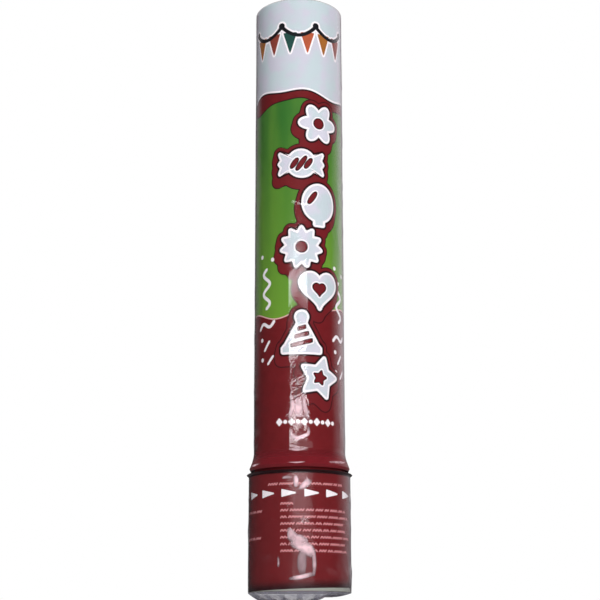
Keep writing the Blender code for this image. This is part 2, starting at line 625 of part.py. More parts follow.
        for tier in range(TIER_COUNT):
            foot = TIERS_FOOT + tier * (SLIP_LENGTH + GLUE_GAP)
            for place, (centre, depth) in enumerate(self.bundle_places()):
                name = f"confetti_tier_{tier + 1}_bundle_{place + 1}"
                bundle = self.slip_bundle(name, centre, depth, foot, tier + place)
                self.add(bundle, self.tissue[(tier + place) % len(self.tissue)], self.charge)

    @staticmethod
    def bundle_places():
        """List the (centre, depth) of the two wide bundles and the two thin ones beside them."""
        room = CHARGE_R - SLIP_SHIFT - GLUE_GAP
        side = SLIP_WIDTH + GLUE_GAP / 2
        wide = math.sqrt(room ** 2 - side ** 2)
        thin = math.sqrt(room ** 2 - (SLIP_WIDTH / 2) ** 2) - wide - GLUE_GAP
        middle = wide + GLUE_GAP + thin / 2
        half = (SLIP_WIDTH + GLUE_GAP) / 2
        return [((half, 0.0), 2 * wide), ((0.0, middle), thin), ((-half, 0.0), 2 * wide),
                ((0.0, -middle), thin)]

    @staticmethod
    def slip_bundle(name, centre, depth, foot, seed):
        """Make a stack of slips whose edges are out of line by a slip's shift from batch to batch."""
        count = max(2, round(depth / SLIP_BATCH))
        right, left = [], []
        for i in range(count):
            low = centre[1] - depth / 2 + depth * i / count
            high = low + depth / count
            shift = SLIP_SHIFT * math.sin(2.4 * i + seed) / 2
            for level in (low, high):
                right.append((centre[0] + SLIP_WIDTH / 2 - SLIP_SHIFT / 2 + shift, level))
                left.append((centre[0] - SLIP_WIDTH / 2 + SLIP_SHIFT / 2 + shift, level))
        outline = right + left[::-1]
        sections = [[(x, y, level) for x, y in outline] for level in (foot, foot + SLIP_LENGTH)]
        return lofted_object(name, [sections])

    def build_muzzle_cap(self):
        """Make the card cap pressed into the muzzle."""
        outer = BORE_R - GLUE_GAP
        inner = outer - MUZZLE_CAP_CARD
        top = MUZZLE_CAP_FOOT + MUZZLE_CAP_DEPTH
        floor = MUZZLE_CAP_FOOT + MUZZLE_CAP_CARD
        bend = MUZZLE_CAP_CARD / 2
        profile = [(0.0, floor), (inner - bend, floor), (inner, floor + bend), (inner, top), (outer, top),
                   (outer, MUZZLE_CAP_FOOT + bend), (outer - bend, MUZZLE_CAP_FOOT), (0.0, MUZZLE_CAP_FOOT)]
        self.add(turned_object("muzzle_cap", profile, ring=False), self.board, self.muzzle)


def main():
    """Build the popper."""
    clear_scene()
    popper = Popper()
    popper.build_barrel()
    popper.build_bush()
    popper.build_housing()
    popper.build_base()
    popper.build_plug()
    popper.build_bottle()
    popper.build_collar()
    popper.build_release()
    popper.build_charge()
    popper.build_muzzle_cap()


main()
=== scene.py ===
"""Dressed model of a confetti popper tube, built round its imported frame.

A paper barrel and a wider base carry printed sheets under clear shrink film. Inside are the wad, the pad,
three tiers of tissue slips and the air bottle with its release. Lengths are in metres, Z runs up the tube,
and an angle round it is counted from the front (-Y) towards the right (+X).
"""
import logging
import math
from collections.abc import Callable, Sequence
from dataclasses import dataclass
from enum import Enum

import bmesh
import bpy
import numpy as np
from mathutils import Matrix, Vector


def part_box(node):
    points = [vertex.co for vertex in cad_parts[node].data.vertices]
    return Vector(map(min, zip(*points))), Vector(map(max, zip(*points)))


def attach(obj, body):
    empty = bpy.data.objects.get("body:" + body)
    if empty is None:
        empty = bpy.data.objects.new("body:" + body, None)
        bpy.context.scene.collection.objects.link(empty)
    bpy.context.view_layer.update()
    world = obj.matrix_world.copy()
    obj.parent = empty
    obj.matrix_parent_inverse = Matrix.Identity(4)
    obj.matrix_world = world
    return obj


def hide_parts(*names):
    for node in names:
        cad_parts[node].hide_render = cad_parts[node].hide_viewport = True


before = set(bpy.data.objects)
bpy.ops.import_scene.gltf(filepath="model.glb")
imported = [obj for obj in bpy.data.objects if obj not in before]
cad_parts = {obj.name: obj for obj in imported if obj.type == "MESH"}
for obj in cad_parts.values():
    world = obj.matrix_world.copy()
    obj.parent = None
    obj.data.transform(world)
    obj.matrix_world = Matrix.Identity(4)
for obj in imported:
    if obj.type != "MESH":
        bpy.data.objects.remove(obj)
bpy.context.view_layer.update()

LOG = logging.getLogger("popper")
Array = np.ndarray
Colour = tuple[float, float, float]
Spot = tuple[float, float]

MM = 0.001
FULL_TURN = 2.0 * math.pi
# A fold sharper than this angle stays sharp, and points closer than this distance are welded.
SMOOTH_ANGLE = math.radians(35.0)
WELD = 1e-7
# A board tube's corners are cut by this much, and a printed sheet's edges stand this far from its seam.
BOARD_EDGE = 0.00015
SEAM = 0.0002
# The attribute that says how far milk covers a point of the film: a painted highlight on the welts, haze on
# the gathered end.
COVER = "cover"


# Surfaces

def grid_quads(rows: int, columns: int, rows_close: bool, columns_close: bool) -> Array:
    """Join the points of a grid, row after row, into four-sided faces.

    Args:
        rows: number of rows of points.
        columns: points in a row.
        rows_close: whether the last row joins the first.
        columns_close: whether each row's last point joins its first.

    Returns:
        The faces as rows of four point numbers.
    """
    i, j = np.meshgrid(np.arange(rows if rows_close else rows - 1),
                       np.arange(columns if columns_close else columns - 1), indexing="ij")
    far, beside = (i + 1) % rows, (j + 1) % columns
    return np.stack([i * columns + j, far * columns + j, far * columns + beside, i * columns + beside],
                    axis=-1).reshape(-1, 4)


def round_axis(radius: Array, angle: Array, level: Array) -> Array:
    """Place points: x = radius sin(angle), y = -radius cos(angle), z = level."""
    radius, angle, level = np.broadcast_arrays(radius, angle, level)
    return np.stack([radius * np.sin(angle), -radius * np.cos(angle), level], axis=-1)


def turns(count: int) -> Array:
    """List the angles of a full turn in equal steps, as a column."""
    return (np.arange(count) / count * FULL_TURN)[:, None]


class Surface:
    """Closed surfaces that are gathered into one mesh object."""

    def __init__(self) -> None:
        """Start with no points and no faces."""
        self.points: list[Array] = []
        self.faces: list[Array] = []
        self.cover: list[Array] = []
        self.count = 0

    def add(self, points: Array, faces: Array, cover: Array | None = None) -> None:
        """Add a surface.

        Args:
            points: its points, in a grid of any shape.
            faces: its faces, as rows of point numbers.
            cover: how far the film's milk covers each point, 0 to 1, where the finish asks for it.
        """
        flat = points.reshape(-1, 3)
        self.points.append(flat)
        self.faces.append(faces + self.count)
        self.cover.append(np.ones(len(flat)) if cover is None else cover.reshape(-1))
        self.count += len(flat)

    def add_turned(self, radius: Array, level: Array, closed: bool = True, count: int = 0) -> None:
        """Add a line turned round the axis: point (turn, step) is round_axis(radius, angle, level).

        Args:
            radius: radii along the line, or one such row for each angle.
            level: heights in the same shape.
            closed: whether the line is a loop, rather than one that starts and ends on the axis.
            count: number of angles, where the rows don't give it.
        """
        rows = max(count, np.atleast_2d(radius).shape[0], np.atleast_2d(level).shape[0])
        points = round_axis(np.atleast_2d(radius), turns(rows), np.atleast_2d(level))
        self.add(points, grid_quads(rows, points.shape[1], True, closed))

    def add_swept(self, loops: Array, cover: Array | None = None) -> None:
        """Add loops of points joined one after another, with faces across the first and the last loop.

        Args:
            loops: the points, a row for each loop.
            cover: the milk's cover in the same rows.
        """
        rows, columns = loops.shape[:2]
        self.add(loops, grid_quads(rows, columns, False, True), cover)
        half = np.arange(columns // 2 - 1)
        lid = np.stack([half, half + 1, columns - 2 - half, columns - 1 - half], axis=-1)
        self.faces.append(lid + self.count - rows * columns)
        self.faces.append(lid[:, ::-1] + self.count - columns)

    def make(self, name: str, material: bpy.types.Material) -> bpy.types.Object:
        """Build the object: poles and seams welded, faces outwards, smooth with sharp folds kept.

        Args:
            name: the piece's name.
            material: its finish.

        Returns:
            The object, at the origin.
        """
        mesh = bpy.data.meshes.new(name)
        mesh.from_pydata(np.concatenate(self.points).tolist(), [], np.concatenate(self.faces).tolist())
        cover = np.concatenate(self.cover).astype(np.float32)
        if cover.min() < 1.0:
            mesh.attributes.new(COVER, "FLOAT", "POINT").data.foreach_set("value", cover)
        return dress_mesh(mesh, name, material)


def dress_mesh(mesh: bpy.types.Mesh, name: str, material: bpy.types.Material) -> bpy.types.Object:
    """Weld a mesh, point its faces outwards, shade it smooth between folds, and link it as an object.

    Args:
        mesh: the mesh, already in its place.
        name: the piece's name.
        material: its finish.

    Returns:
        The new object.
    """
    work = bmesh.new()
    work.from_mesh(mesh)
    bmesh.ops.remove_doubles(work, verts=work.verts, dist=WELD)
    bmesh.ops.recalc_face_normals(work, faces=work.faces)
    for face in work.faces:
        face.smooth = True
    for edge in work.edges:
        edge.smooth = edge.calc_face_angle(0.0) < SMOOTH_ANGLE
    work.to_mesh(mesh)
    work.free()
    mesh.materials.clear()
    mesh.materials.append(material)
    obj = bpy.data.objects.new(name, mesh)
    bpy.context.scene.collection.objects.link(obj)
    return obj


def board_tube(inner: float, outer: float, foot: float, top: float, facets: int) -> Surface:
    """Turn a board tube: a rectangle of a section, whose corners are cut by BOARD_EDGE.

    Args:
        inner: inner radius.
        outer: outer radius.
        foot: level of the lower end.
        top: level of the upper end.
        facets: number of angles.

    Returns:
        The closed tube.
    """
    edge = BOARD_EDGE
    radius = np.array([outer, outer, outer - edge, inner + edge, inner, inner, inner + edge, outer - edge])
    level = np.array([foot + edge, top - edge, top, top, top - edge, foot + edge, foot, foot])
    surface = Surface()
    surface.add_turned(radius, level, count=facets)
    return surface


def printed_sheet(radius: float, thickness: float, foot: float, top: float, rows: int,
                  facets: int) -> Surface:
    """Bend a sheet round the tube, from its seam at the back right round to the seam again.

    Args:
        radius: radius of its printed side.
        thickness: the paper's thickness.
        foot: level of the lower edge.
        top: level of the upper edge.
        rows: number of levels.
        facets: number of steps round the tube.

    Returns:
        The closed sheet.
    """
    half_turn = math.pi - SEAM / radius
    angle = np.linspace(-half_turn, half_turn, facets + 1)[:, None]
    level = np.linspace(foot, top, rows)
    surface = Surface()
    surface.add_swept(round_axis(np.repeat([radius, radius - thickness], rows), angle,
                                 np.concatenate([level, level[::-1]])))
    return surface


def film_sheet(radius: Array, level: Array, angle: Array, thickness: float) -> Surface:
    """Give a film its two faces: the inner one is a thickness along the line's normal from the outer one.

    Args:
        radius: radii, a row for each angle.
        level: heights, as one row.
        angle: the angles, as a column.
        thickness: the film's thickness.

    Returns:
        The closed film.
    """
    level = np.broadcast_to(level, radius.shape)
    along_r, along_z = np.gradient(radius, axis=1), np.gradient(level, axis=1)
    length = np.hypot(along_r, along_z) + 1e-12
    inner_r = radius + thickness * along_z / length
    inner_z = level - thickness * along_r / length
    points = round_axis(np.concatenate([radius, inner_r[:, ::-1]], axis=1), angle,
                        np.concatenate([level, inner_z[:, ::-1]], axis=1))
    surface = Surface()
    surface.add(points, grid_quads(*points.shape[:2], True, True))
    return surface


@dataclass(frozen=True)
class Creases:
    """A film's relief: slow bulges round the tube, and short soft ridges at seeded places.

    The ridges lie about level with low..high on a tube of the radius. bulge and ridge are their greatest
    heights, turn leans every ridge from upright, and wide makes it that much wider and shorter.
    """

    seed: int
    count: int
    low: float
    high: float
    radius: float
    bulge: float = 0.00007
    ridge: float = 0.00016
    turn: float = 0.0
    wide: float = 1.0

    SPIRAL_PITCHES = (0.017, 0.011)
    LEAN_SPREAD = 0.5
    REACHES = (0.004, 0.016)
    WIDTHS = (0.0006, 0.0016)

    def height(self, angle: Array, level: Array) -> Array:
        """Give how far the film stands out.

        The bulges are two sines with a whole number of waves round the tube. A ridge is
        ridge exp(-(across / width)^2) exp(-(along / reach)^2) about its own line.

        Args:
            angle: angles, as a column.
            level: heights, as a row.

        Returns:
            The height at each angle and level.
        """
        level = np.broadcast_to(level, (angle.shape[0], np.shape(level)[-1]))
        slow, quick = self.SPIRAL_PITCHES
        out = self.bulge * 0.5 * (np.sin(3 * angle + level / slow) + np.sin(2 * angle - level / quick + 1.3))
        draws = np.random.default_rng(self.seed)
        for _ in range(self.count):
            middle = draws.uniform(0.0, FULL_TURN)
            up = draws.uniform(self.low, self.high)
            lean = self.turn + draws.normal(0.0, self.LEAN_SPREAD)
            reach = draws.uniform(*self.REACHES) / self.wide
            width = draws.uniform(*self.WIDTHS) * self.wide
            tall = self.ridge * draws.uniform(0.3, 1.0)
            beside = ((angle - middle + math.pi) % FULL_TURN - math.pi) * self.radius
            rise = level - up
            across = beside * math.cos(lean) + rise * math.sin(lean)
            along = rise * math.cos(lean) - beside * math.sin(lean)
            out = out + tall * np.exp(-(across / width) ** 2 - (along / reach) ** 2)
        return out


# Finishes

CRIMSON = (121, 25, 31)
DEEP_CRIMSON = (102, 14, 18)
NEAR_BLACK = (44, 8, 14)
PAPER_WHITE = (250, 243, 246)
# How strongly printed paper mirrors, as the main shader's specular level.
PRINT_SHINE = 0.15
# Soft noise seldom leaves this range.
NOISE_RANGE = (0.3, 0.7)


def linear(colour: Colour, share: float = 1.0) -> tuple[float, float, float, float]:
    """Turn a share of a display colour, 0 to 255, into scene light.

    Args:
        colour: the display colour.
        share: how much of it.

    Returns:
        Each part c of the colour, over 255, as ((c + 0.055) / 1.055) to the 2.4, or c / 12.92 up to 0.04045,
        with 1 for its opacity.
    """
    parts = [c * share / 255.0 for c in colour]
    return (*(c / 12.92 if c <= 0.04045 else ((c + 0.055) / 1.055) ** 2.4 for c in parts), 1.0)


class Nodes:
    """A node tree, written as short calls."""

    def __init__(self, tree: bpy.types.NodeTree) -> None:
        """Start with the tree emptied."""
        self.tree = tree
        tree.nodes.clear()

    def node(self, kind: str, feeds: dict | None = None, **settings: object) -> bpy.types.Node:
        """Add a node.

        Args:
            kind: Blender's name for the kind of node.
            feeds: what goes into its sockets: values, or other nodes' sockets.
            settings: the node's own settings.

        Returns:
            The node.
        """
        made = self.tree.nodes.new(kind)
        for key, value in settings.items():
            setattr(made, key, value)
        for key, value in (feeds or {}).items():
            if isinstance(value, bpy.types.NodeSocket):
                self.tree.links.new(value, made.inputs[key])
            else:
                made.inputs[key].default_value = value
        return made

    def math(self, kind: str, *values: object) -> bpy.types.NodeSocket:
        """Work out one step of arithmetic."""
        return self.node("ShaderNodeMath", dict(enumerate(values)), operation=kind).outputs[0]

    def band(self, value: object, low: float, high: float, out_low: float = 0.0,
             out_high: float = 1.0) -> bpy.types.NodeSocket:
        """Map low..high onto out_low..out_high, held at both ends."""
        feeds = {0: value, 1: low, 2: high, 3: out_low, 4: out_high}
        return self.node("ShaderNodeMapRange", feeds).outputs[0]

    def mix(self, factor: object, first: object, second: object) -> bpy.types.NodeSocket:
        """Go from the first colour to the second by a factor."""
        return self.node("ShaderNodeMix", {0: factor, 6: first, 7: second}, data_type="RGBA").outputs[2]

    def either(self, factor: object, first: object, second: object) -> bpy.types.NodeSocket:
        """Go from the first shader to the second by a factor."""
        return self.node("ShaderNodeMixShader", {0: factor, 1: first, 2: second}).outputs[0]


class Recipe(Nodes):
    """A material's nodes, with the place on the piece and its angle round the tube at hand."""

    def __init__(self, name: str) -> None:
        """Start a material that has no shader yet.

        Args:
            name: the material's name.
        """
        self.material = bpy.data.materials.new(name)
        self.material.use_nodes = True
        super().__init__(self.material.node_tree)
        self.place = self.node("ShaderNodeTexCoord").outputs["Object"]
        self.x, self.y, self.z = self.node("ShaderNodeSeparateXYZ", {0: self.place}).outputs
        self.angle = self.math("ARCTAN2", self.x, self.math("MULTIPLY", self.y, -1.0))

    def noise(self, scale: float, detail: float = 2.0,
              stretch: tuple[float, float, float] = (1.0, 1.0, 1.0)) -> bpy.types.NodeSocket:
        """Give soft noise, 0 to 1: about scale * stretch lumps in a metre, with detail finer octaves."""
        spot = self.node("ShaderNodeMapping", {"Vector": self.place, "Scale": stretch}).outputs[0]
        return self.node("ShaderNodeTexNoise", {"Vector": spot, "Scale": scale, "Detail": detail}).outputs[0]

    def spread(self, noise: object, low: float = 0.0, high: float = 1.0) -> bpy.types.NodeSocket:
        """Spread a noise's usual range over low..high."""
        return self.band(noise, *NOISE_RANGE, low, high)

    def clouds(self, first: object, second: object) -> bpy.types.NodeSocket:
        """Mix two colours in soft clouds of some millimetres."""
        return self.mix(self.band(self.noise(130.0), 0.42, 0.62), first, second)

    def bump(self, height: object, depth: float) -> bpy.types.NodeSocket:
        """Turn a height, 0 to 1, into surface relief of a depth in metres."""
        return self.node("ShaderNodeBump", {"Height": height, "Distance": depth, "Strength": 1.0}).outputs[0]

    def surface(self, **feeds: object) -> bpy.types.NodeSocket:
        """Add the main shader. A feed's name is the socket's, with _ for a space."""
        return self.node("ShaderNodeBsdfPrincipled",
                         {key.replace("_", " "): value for key, value in feeds.items()}).outputs[0]

    def done(self, shader: bpy.types.NodeSocket) -> bpy.types.Material:
        """Join the shader to the output and return the material."""
        self.node("ShaderNodeOutputMaterial", {"Surface": shader})
        return self.material


@dataclass(frozen=True)
class Ink:
    """Printing ink on paper: an even colour with a faint mottle from the sheet."""

    name: str
    colour: Colour
    mottle: float = 0.05
    cast: Colour | None = None
    roughness: tuple[float, float] = (0.44, 0.56)

    def build(self) -> bpy.types.Material:
        """Make the material: a mottle, and where a cast is given, slow clouds of it.

        Returns:
            The material.
        """
        recipe = Recipe(self.name)
        grain = recipe.noise(320.0, 3.0)
        colour = recipe.mix(grain, linear(self.colour, 1.0 - self.mottle), linear(self.colour))
        if self.cast:
            colour = recipe.clouds(colour, linear(self.cast))
        return recipe.done(recipe.surface(Base_Color=colour, Specular_IOR_Level=PRINT_SHINE,
                                          Roughness=recipe.spread(grain, *self.roughness)))


class Inks(Enum):
    """The inks of the print."""

    CRIMSON = Ink("crimson_ink", CRIMSON, 0.10)
    DARK = Ink("dark_ink", NEAR_BLACK)
    WHITE = Ink("white_ink", PAPER_WHITE, 0.02)
    PALE = Ink("pale_ink", (202, 213, 218), 0.03, cast=(212, 209, 221))
    ROSE = Ink("rose_ink", (226, 148, 152), 0.10)
    BLACK = Ink("black_ink", (22, 22, 28))
    AMBER = Ink("amber_ink", (176, 108, 44), 0.16)
    BRICK = Ink("brick_ink", (150, 66, 52), 0.16)
    TEAL = Ink("teal_ink", (38, 84, 76), 0.16)
    CORAL = Ink("coral_ink", (196, 96, 62), 0.16)


@dataclass(frozen=True)
class WavyEdge:
    """An edge round the print: its level, and swings of (waves in a turn, height, start)."""

    level: float
    swings: tuple[tuple[int, float, float], ...]


class PrintRecipe(Recipe):
    """A printed sheet's nodes: paper with a crimson ground, and colours laid over it between edges."""

    SOFT = 0.05 * MM

    def __init__(self, name: str) -> None:
        """Start with the paper's grain and its crimson ground.

        Args:
            name: the material's name.
        """
        super().__init__(name)
        self.grain = self.noise(260.0, 3.0)
        self.crimson = self.mix(self.grain, linear(CRIMSON), linear(DEEP_CRIMSON))

    def above(self, edge: WavyEdge) -> bpy.types.NodeSocket:
        """Measure how far a point is above a wavy edge.

        The edge's level is level + the sum of height sin(waves angle + start) over its swings. The waves
        are a whole number in a turn, so that the edge closes on itself.

        Args:
            edge: the edge.

        Returns:
            The distance in metres, less than nothing below the edge.
        """
        level = edge.level
        for waves, height, start in edge.swings:
            phase = self.math("ADD", self.math("MULTIPLY", self.angle, float(waves)), start)
            level = self.math("ADD", self.math("MULTIPLY", self.math("SINE", phase), height), level)
        return self.math("SUBTRACT", self.z, level)

    def over(self, distance: object, edge: float, below: object, above: object) -> bpy.types.NodeSocket:
        """Lay one colour over another from a distance upwards, with a soft step."""
        return self.mix(self.band(distance, edge - self.SOFT, edge + self.SOFT), below, above)

    def line(self, distance: object, half: float, ground: object, ink: object) -> bpy.types.NodeSocket:
        """Draw a line of a half width along an edge, with soft sides."""
        away = self.math("ABSOLUTE", distance)
        return self.mix(self.band(away, half + self.SOFT, half - self.SOFT), ground, ink)

    def paper(self, colour: object) -> bpy.types.Material:
        """Give the paper its colour and return the material."""
        return self.done(self.surface(Base_Color=colour, Roughness=self.spread(self.grain, 0.42, 0.55),
                                      Specular_IOR_Level=PRINT_SHINE))


@dataclass(frozen=True)
class BarrelPrint:
    """The barrel's printed sheet: a pale band over a crimson wave, green, and crimson below."""

    pale: Colour = (196, 208, 212)
    pale_cast: Colour = (204, 202, 214)
    green_low: Colour = (104, 152, 46)
    green_high: Colour = (52, 112, 40)
    green_streak: Colour = (126, 168, 56)
    green_reach: float = 0.105
    pale_edge: WavyEdge = WavyEdge(0.2538, ((2, 0.0016, 2.6), (5, 0.0011, 0.5)))
    wave_edge: WavyEdge = WavyEdge(0.2472, ((3, 0.0024, 1.9), (7, 0.0006, 0.3)))
    green_edge: WavyEdge = WavyEdge(0.1388, ((2, 0.0026, -0.4), (5, 0.0012, 1.0)))
    rim: float = 0.0010
    outline: float = 0.0009
    thread: float = 0.0003
    thread_ink: Colour = (232, 178, 178)

    def build(self) -> bpy.types.Material:
        """Make the material, from the foot of the sheet upwards.

        Returns:
            The material.
        """
        sheet = PrintRecipe("barrel_print")
        edges = (self.pale_edge, self.wave_edge, self.green_edge)
        above_pale, above_wave, above_green = map(sheet.above, edges)
        dark = linear(NEAR_BLACK)

        green = sheet.mix(sheet.band(above_green, 0.0, self.green_reach), linear(self.green_low),
                          linear(self.green_high))
        streak = sheet.noise(110.0, 2.0, (1.0, 1.0, 0.12))
        green = sheet.mix(sheet.band(streak, 0.35, 0.75, 0.0, 0.30), green, linear(self.green_streak))
        colour = sheet.over(above_green, 0.0, sheet.crimson, green)
        colour = sheet.line(above_green, self.thread, colour, linear(self.thread_ink))

        colour = sheet.over(above_wave, 0.0, colour, sheet.crimson)
        colour = sheet.line(above_wave, self.thread, colour, dark)

        colour = sheet.over(above_pale, -self.rim - self.outline, colour, dark)
        colour = sheet.over(above_pale, -self.rim, colour, linear(PAPER_WHITE))
        return sheet.paper(sheet.over(above_pale, 0.0, colour,
                                      sheet.clouds(linear(self.pale), linear(self.pale_cast))))


@dataclass(frozen=True)
class BasePrint:
    """The base's printed sheet: crimson, darker at the foot, over a pale edge that rises to the right."""

    dark: Colour = (36, 2, 8)
    dark_share: float = 0.92
    pale: Colour = (158, 160, 151)
    tilt: WavyEdge = WavyEdge(0.0, ((1, 0.0009, 0.0),))
    pale_top: float = 0.0052
    dark_top: float = 0.0062
    shade_top: float = 0.0098

    def build(self) -> bpy.types.Material:
        """Make the material.

        Returns:
            The material.
        """
        sheet = PrintRecipe("base_print")
        level = sheet.above(self.tilt)
        shade = sheet.band(level, self.dark_top, self.shade_top, self.dark_share, 0.0)
        colour = sheet.mix(shade, sheet.crimson, linear(self.dark))
        return sheet.paper(sheet.mix(sheet.band(level, self.pale_top, self.pale_top + 2.0 * sheet.SOFT),
                                     linear(self.pale), colour))


@dataclass(frozen=True)
class Film:
    """Clear shrink film: see-through face on, glossy where it turns away, and opaque in a band: crimson ink
    where the print runs onto it, and near-black painted shade under the flare on the base's rim.

    Where the film is folded double it is milky, as far as the piece's own cover says. On the welts the milk
    is a painted highlight, and on the gathered end it is haze made greyer with painted shade.
    """

    name: str
    tint: Colour = (244, 238, 242)
    haze_and_highlight: float = 0.0
    patches: float = 180.0
    gloss: float = 1.0
    roughness: float = 0.09
    smoke: Colour = (226, 222, 224)
    # The band's colour: crimson print on the barrel's flare, near-black painted shade on the base's rim.
    ink: Colour = (118, 22, 31)
    ink_and_shade_starts: float = 0.0
    ink_and_shade_full: float = 0.0
    ink_and_shade_share: float = 0.94
    ink_and_shade_gloss: float = 0.35

    FACE_ON, EDGE_ON = 0.045, 0.9
    RIPPLE = 0.000008

    def build(self) -> bpy.types.Material:
        """Make the material: clear, then opaque in its band (ink, and on the base painted shade), then glossy
        by FACE_ON..EDGE_ON over facing^5, then milky (haze, and on the welts a painted highlight).

        Returns:
            The material.
        """
        recipe = Recipe(self.name)
        relief = recipe.bump(recipe.noise(170.0, 1.0, (1.0, 1.0, 0.6)), self.RIPPLE)
        facing = recipe.node("ShaderNodeLayerWeight", {"Blend": 0.5, "Normal": relief}).outputs["Facing"]
        mirror = recipe.band(recipe.math("POWER", facing, 5.0), 0.0, 1.0, self.FACE_ON, self.EDGE_ON)
        smoke = recipe.mix(recipe.math("POWER", facing, 3.0), linear((255, 255, 255)), linear(self.smoke))
        under = recipe.node("ShaderNodeBsdfTransparent", {"Color": smoke}).outputs[0]
        # The band: crimson print on the barrel's flare; on the base's rim, near-black painted shade under the
        # flare.
        if self.ink_and_shade_starts != self.ink_and_shade_full:
            ink = recipe.mix(recipe.noise(260.0, 3.0), linear(self.ink, 0.85), linear(self.ink))
            share = recipe.band(recipe.z, self.ink_and_shade_starts, self.ink_and_shade_full, 0.0, self.ink_and_shade_share)
            under = recipe.either(share, under, recipe.surface(Base_Color=ink, Roughness=0.5,
                                                               Specular_IOR_Level=PRINT_SHINE))
            mirror = recipe.math("MULTIPLY", mirror, recipe.band(share, 0.0, 1.0, 1.0, self.ink_and_shade_gloss))
        gloss = recipe.node("ShaderNodeBsdfGlossy", {"Color": linear(self.tint), "Roughness": self.roughness,
                                                     "Normal": relief}).outputs[0]
        film = recipe.either(recipe.math("MULTIPLY", mirror, self.gloss), under, gloss)
        # The milk: a pink-white painted highlight on the welts; grey haze with painted shade on the gathered
        # end.
        if self.haze_and_highlight:
            milk_and_highlight = recipe.surface(Base_Color=linear(self.tint), Roughness=0.35)
            patch = recipe.spread(recipe.noise(self.patches), self.haze_and_highlight * 0.6, self.haze_and_highlight * 1.4)
            cover = recipe.node("ShaderNodeAttribute", attribute_name=COVER).outputs["Fac"]
            film = recipe.either(recipe.math("MULTIPLY", patch, cover), film, milk_and_highlight)
        return recipe.done(film)


@dataclass(frozen=True)
class Board:
    """Wound paper board: fine fibres, and plies that show as rings on a cut end."""

    name: str
    colour: Colour
    ply: float = 0.00038
    fibres: float = 0.20
    fuzz: float = 0.00004

    def build(self) -> bpy.types.Material:
        """Make the material: its rings are sin(2 pi radius / ply).

        Returns:
            The material.
        """
        recipe = Recipe(self.name)
        radius = recipe.math("SQRT", recipe.math("ADD", recipe.math("POWER", recipe.x, 2.0),
                                                 recipe.math("POWER", recipe.y, 2.0)))
        ring = recipe.math("SINE", recipe.math("MULTIPLY", radius, FULL_TURN / self.ply))
        fibre = recipe.noise(900.0, 4.0, (1.0, 1.0, 0.35))
        dark = linear(self.colour, 1.0 - self.fibres)
        colour = recipe.mix(recipe.spread(fibre), dark, linear(self.colour))
        colour = recipe.mix(recipe.band(ring, 0.2, 1.0, 0.0, 0.45), colour, dark)
        return recipe.done(recipe.surface(Base_Color=colour, Roughness=0.85,
                                          Normal=recipe.bump(fibre, self.fuzz)))


@dataclass(frozen=True)
class Moulding:
    """Moulded plastic with a fine spark texture and slight flow marks."""

    name: str
    colour: Colour
    roughness: tuple[float, float] = (0.36, 0.50)
    spark: float = 0.000012

    def build(self) -> bpy.types.Material:
        """Make the material.

        Returns:
            The material.
        """
        recipe = Recipe(self.name)
        flow = recipe.noise(70.0, 2.0, (1.0, 1.0, 0.4))
        colour = recipe.mix(recipe.spread(flow), linear(self.colour, 0.93), linear(self.colour))
        return recipe.done(recipe.surface(
            Base_Color=colour, Roughness=recipe.spread(flow, *self.roughness), Subsurface_Weight=0.04,
            Subsurface_Scale=0.002, Normal=recipe.bump(recipe.noise(2600.0), self.spark)))


@dataclass(frozen=True)
class DrawnAluminium:
    """Bare drawn aluminium with faint lines round it."""

    name: str = "bare_aluminium"
    colour: Colour = (214, 216, 219)
    lines: float = 0.000006

    def build(self) -> bpy.types.Material:
        """Make the material.

        Returns:
            The material.
        """
        recipe = Recipe(self.name)
        drawn = recipe.noise(160.0, 3.0, (0.6, 0.6, 14.0))
        colour = recipe.mix(drawn, linear(self.colour, 0.93), linear(self.colour))
        return recipe.done(recipe.surface(Base_Color=colour, Metallic=1.0,
                                          Normal=recipe.bump(drawn, self.lines),
                                          Roughness=recipe.spread(drawn, 0.26, 0.42)))


@dataclass(frozen=True)
class Rubber:
    """Matt black rubber with a dusty bloom."""

    name: str = "black_rubber"
    colour: Colour = (34, 34, 36)
    dust: Colour = (70, 70, 74)
    bloom: float = 0.00002

    def build(self) -> bpy.types.Material:
        """Make the material.

        Returns:
            The material.
        """
        recipe = Recipe(self.name)
        bloom = recipe.noise(500.0, 3.0)
        colour = recipe.mix(recipe.band(bloom, 0.4, 0.8, 0.0, 0.5), linear(self.colour), linear(self.dust))
        return recipe.done(recipe.surface(Base_Color=colour, Roughness=0.62,
                                          Normal=recipe.bump(bloom, self.bloom)))


@dataclass(frozen=True)
class Foam:
    """Open-cell foam: small pores in a pale body, darkened with painted shade."""

    name: str = "white_foam"
    colour: Colour = (236, 236, 233)
    pore_shade: Colour = (176, 176, 172)
    pore_depth: float = 0.00018

    def build(self) -> bpy.types.Material:
        """Make the material.

        Returns:
            The material.
        """
        recipe = Recipe(self.name)
        cells = recipe.node("ShaderNodeTexVoronoi", {"Vector": recipe.place, "Scale": 1500.0})
        pore = recipe.band(cells.outputs["Distance"], 0.05, 0.45)
        # The pores are darkened with painted shade.
        colour = recipe.mix(pore, linear(self.pore_shade), linear(self.colour))
        return recipe.done(recipe.surface(Base_Color=colour, Roughness=0.95, Subsurface_Weight=0.1,
                                          Subsurface_Scale=0.002, Normal=recipe.bump(pore, self.pore_depth)))


@dataclass(frozen=True)
class Tissue:
    """Dyed tissue paper: thin, soft and slightly cloudy."""

    name: str
    colour: Colour
    crumple: float = 0.00004

    def build(self) -> bpy.types.Material:
        """Make the material.

        Returns:
            The material.
        """
        recipe = Recipe(self.name)
        cloud = recipe.noise(420.0, 4.0, (1.0, 8.0, 0.5))
        colour = recipe.mix(recipe.spread(cloud), linear(self.colour, 0.82), linear(self.colour))
        return recipe.done(recipe.surface(Base_Color=colour, Roughness=0.8, Subsurface_Weight=0.15,
                                          Subsurface_Scale=0.001, Normal=recipe.bump(cloud, self.crumple)))


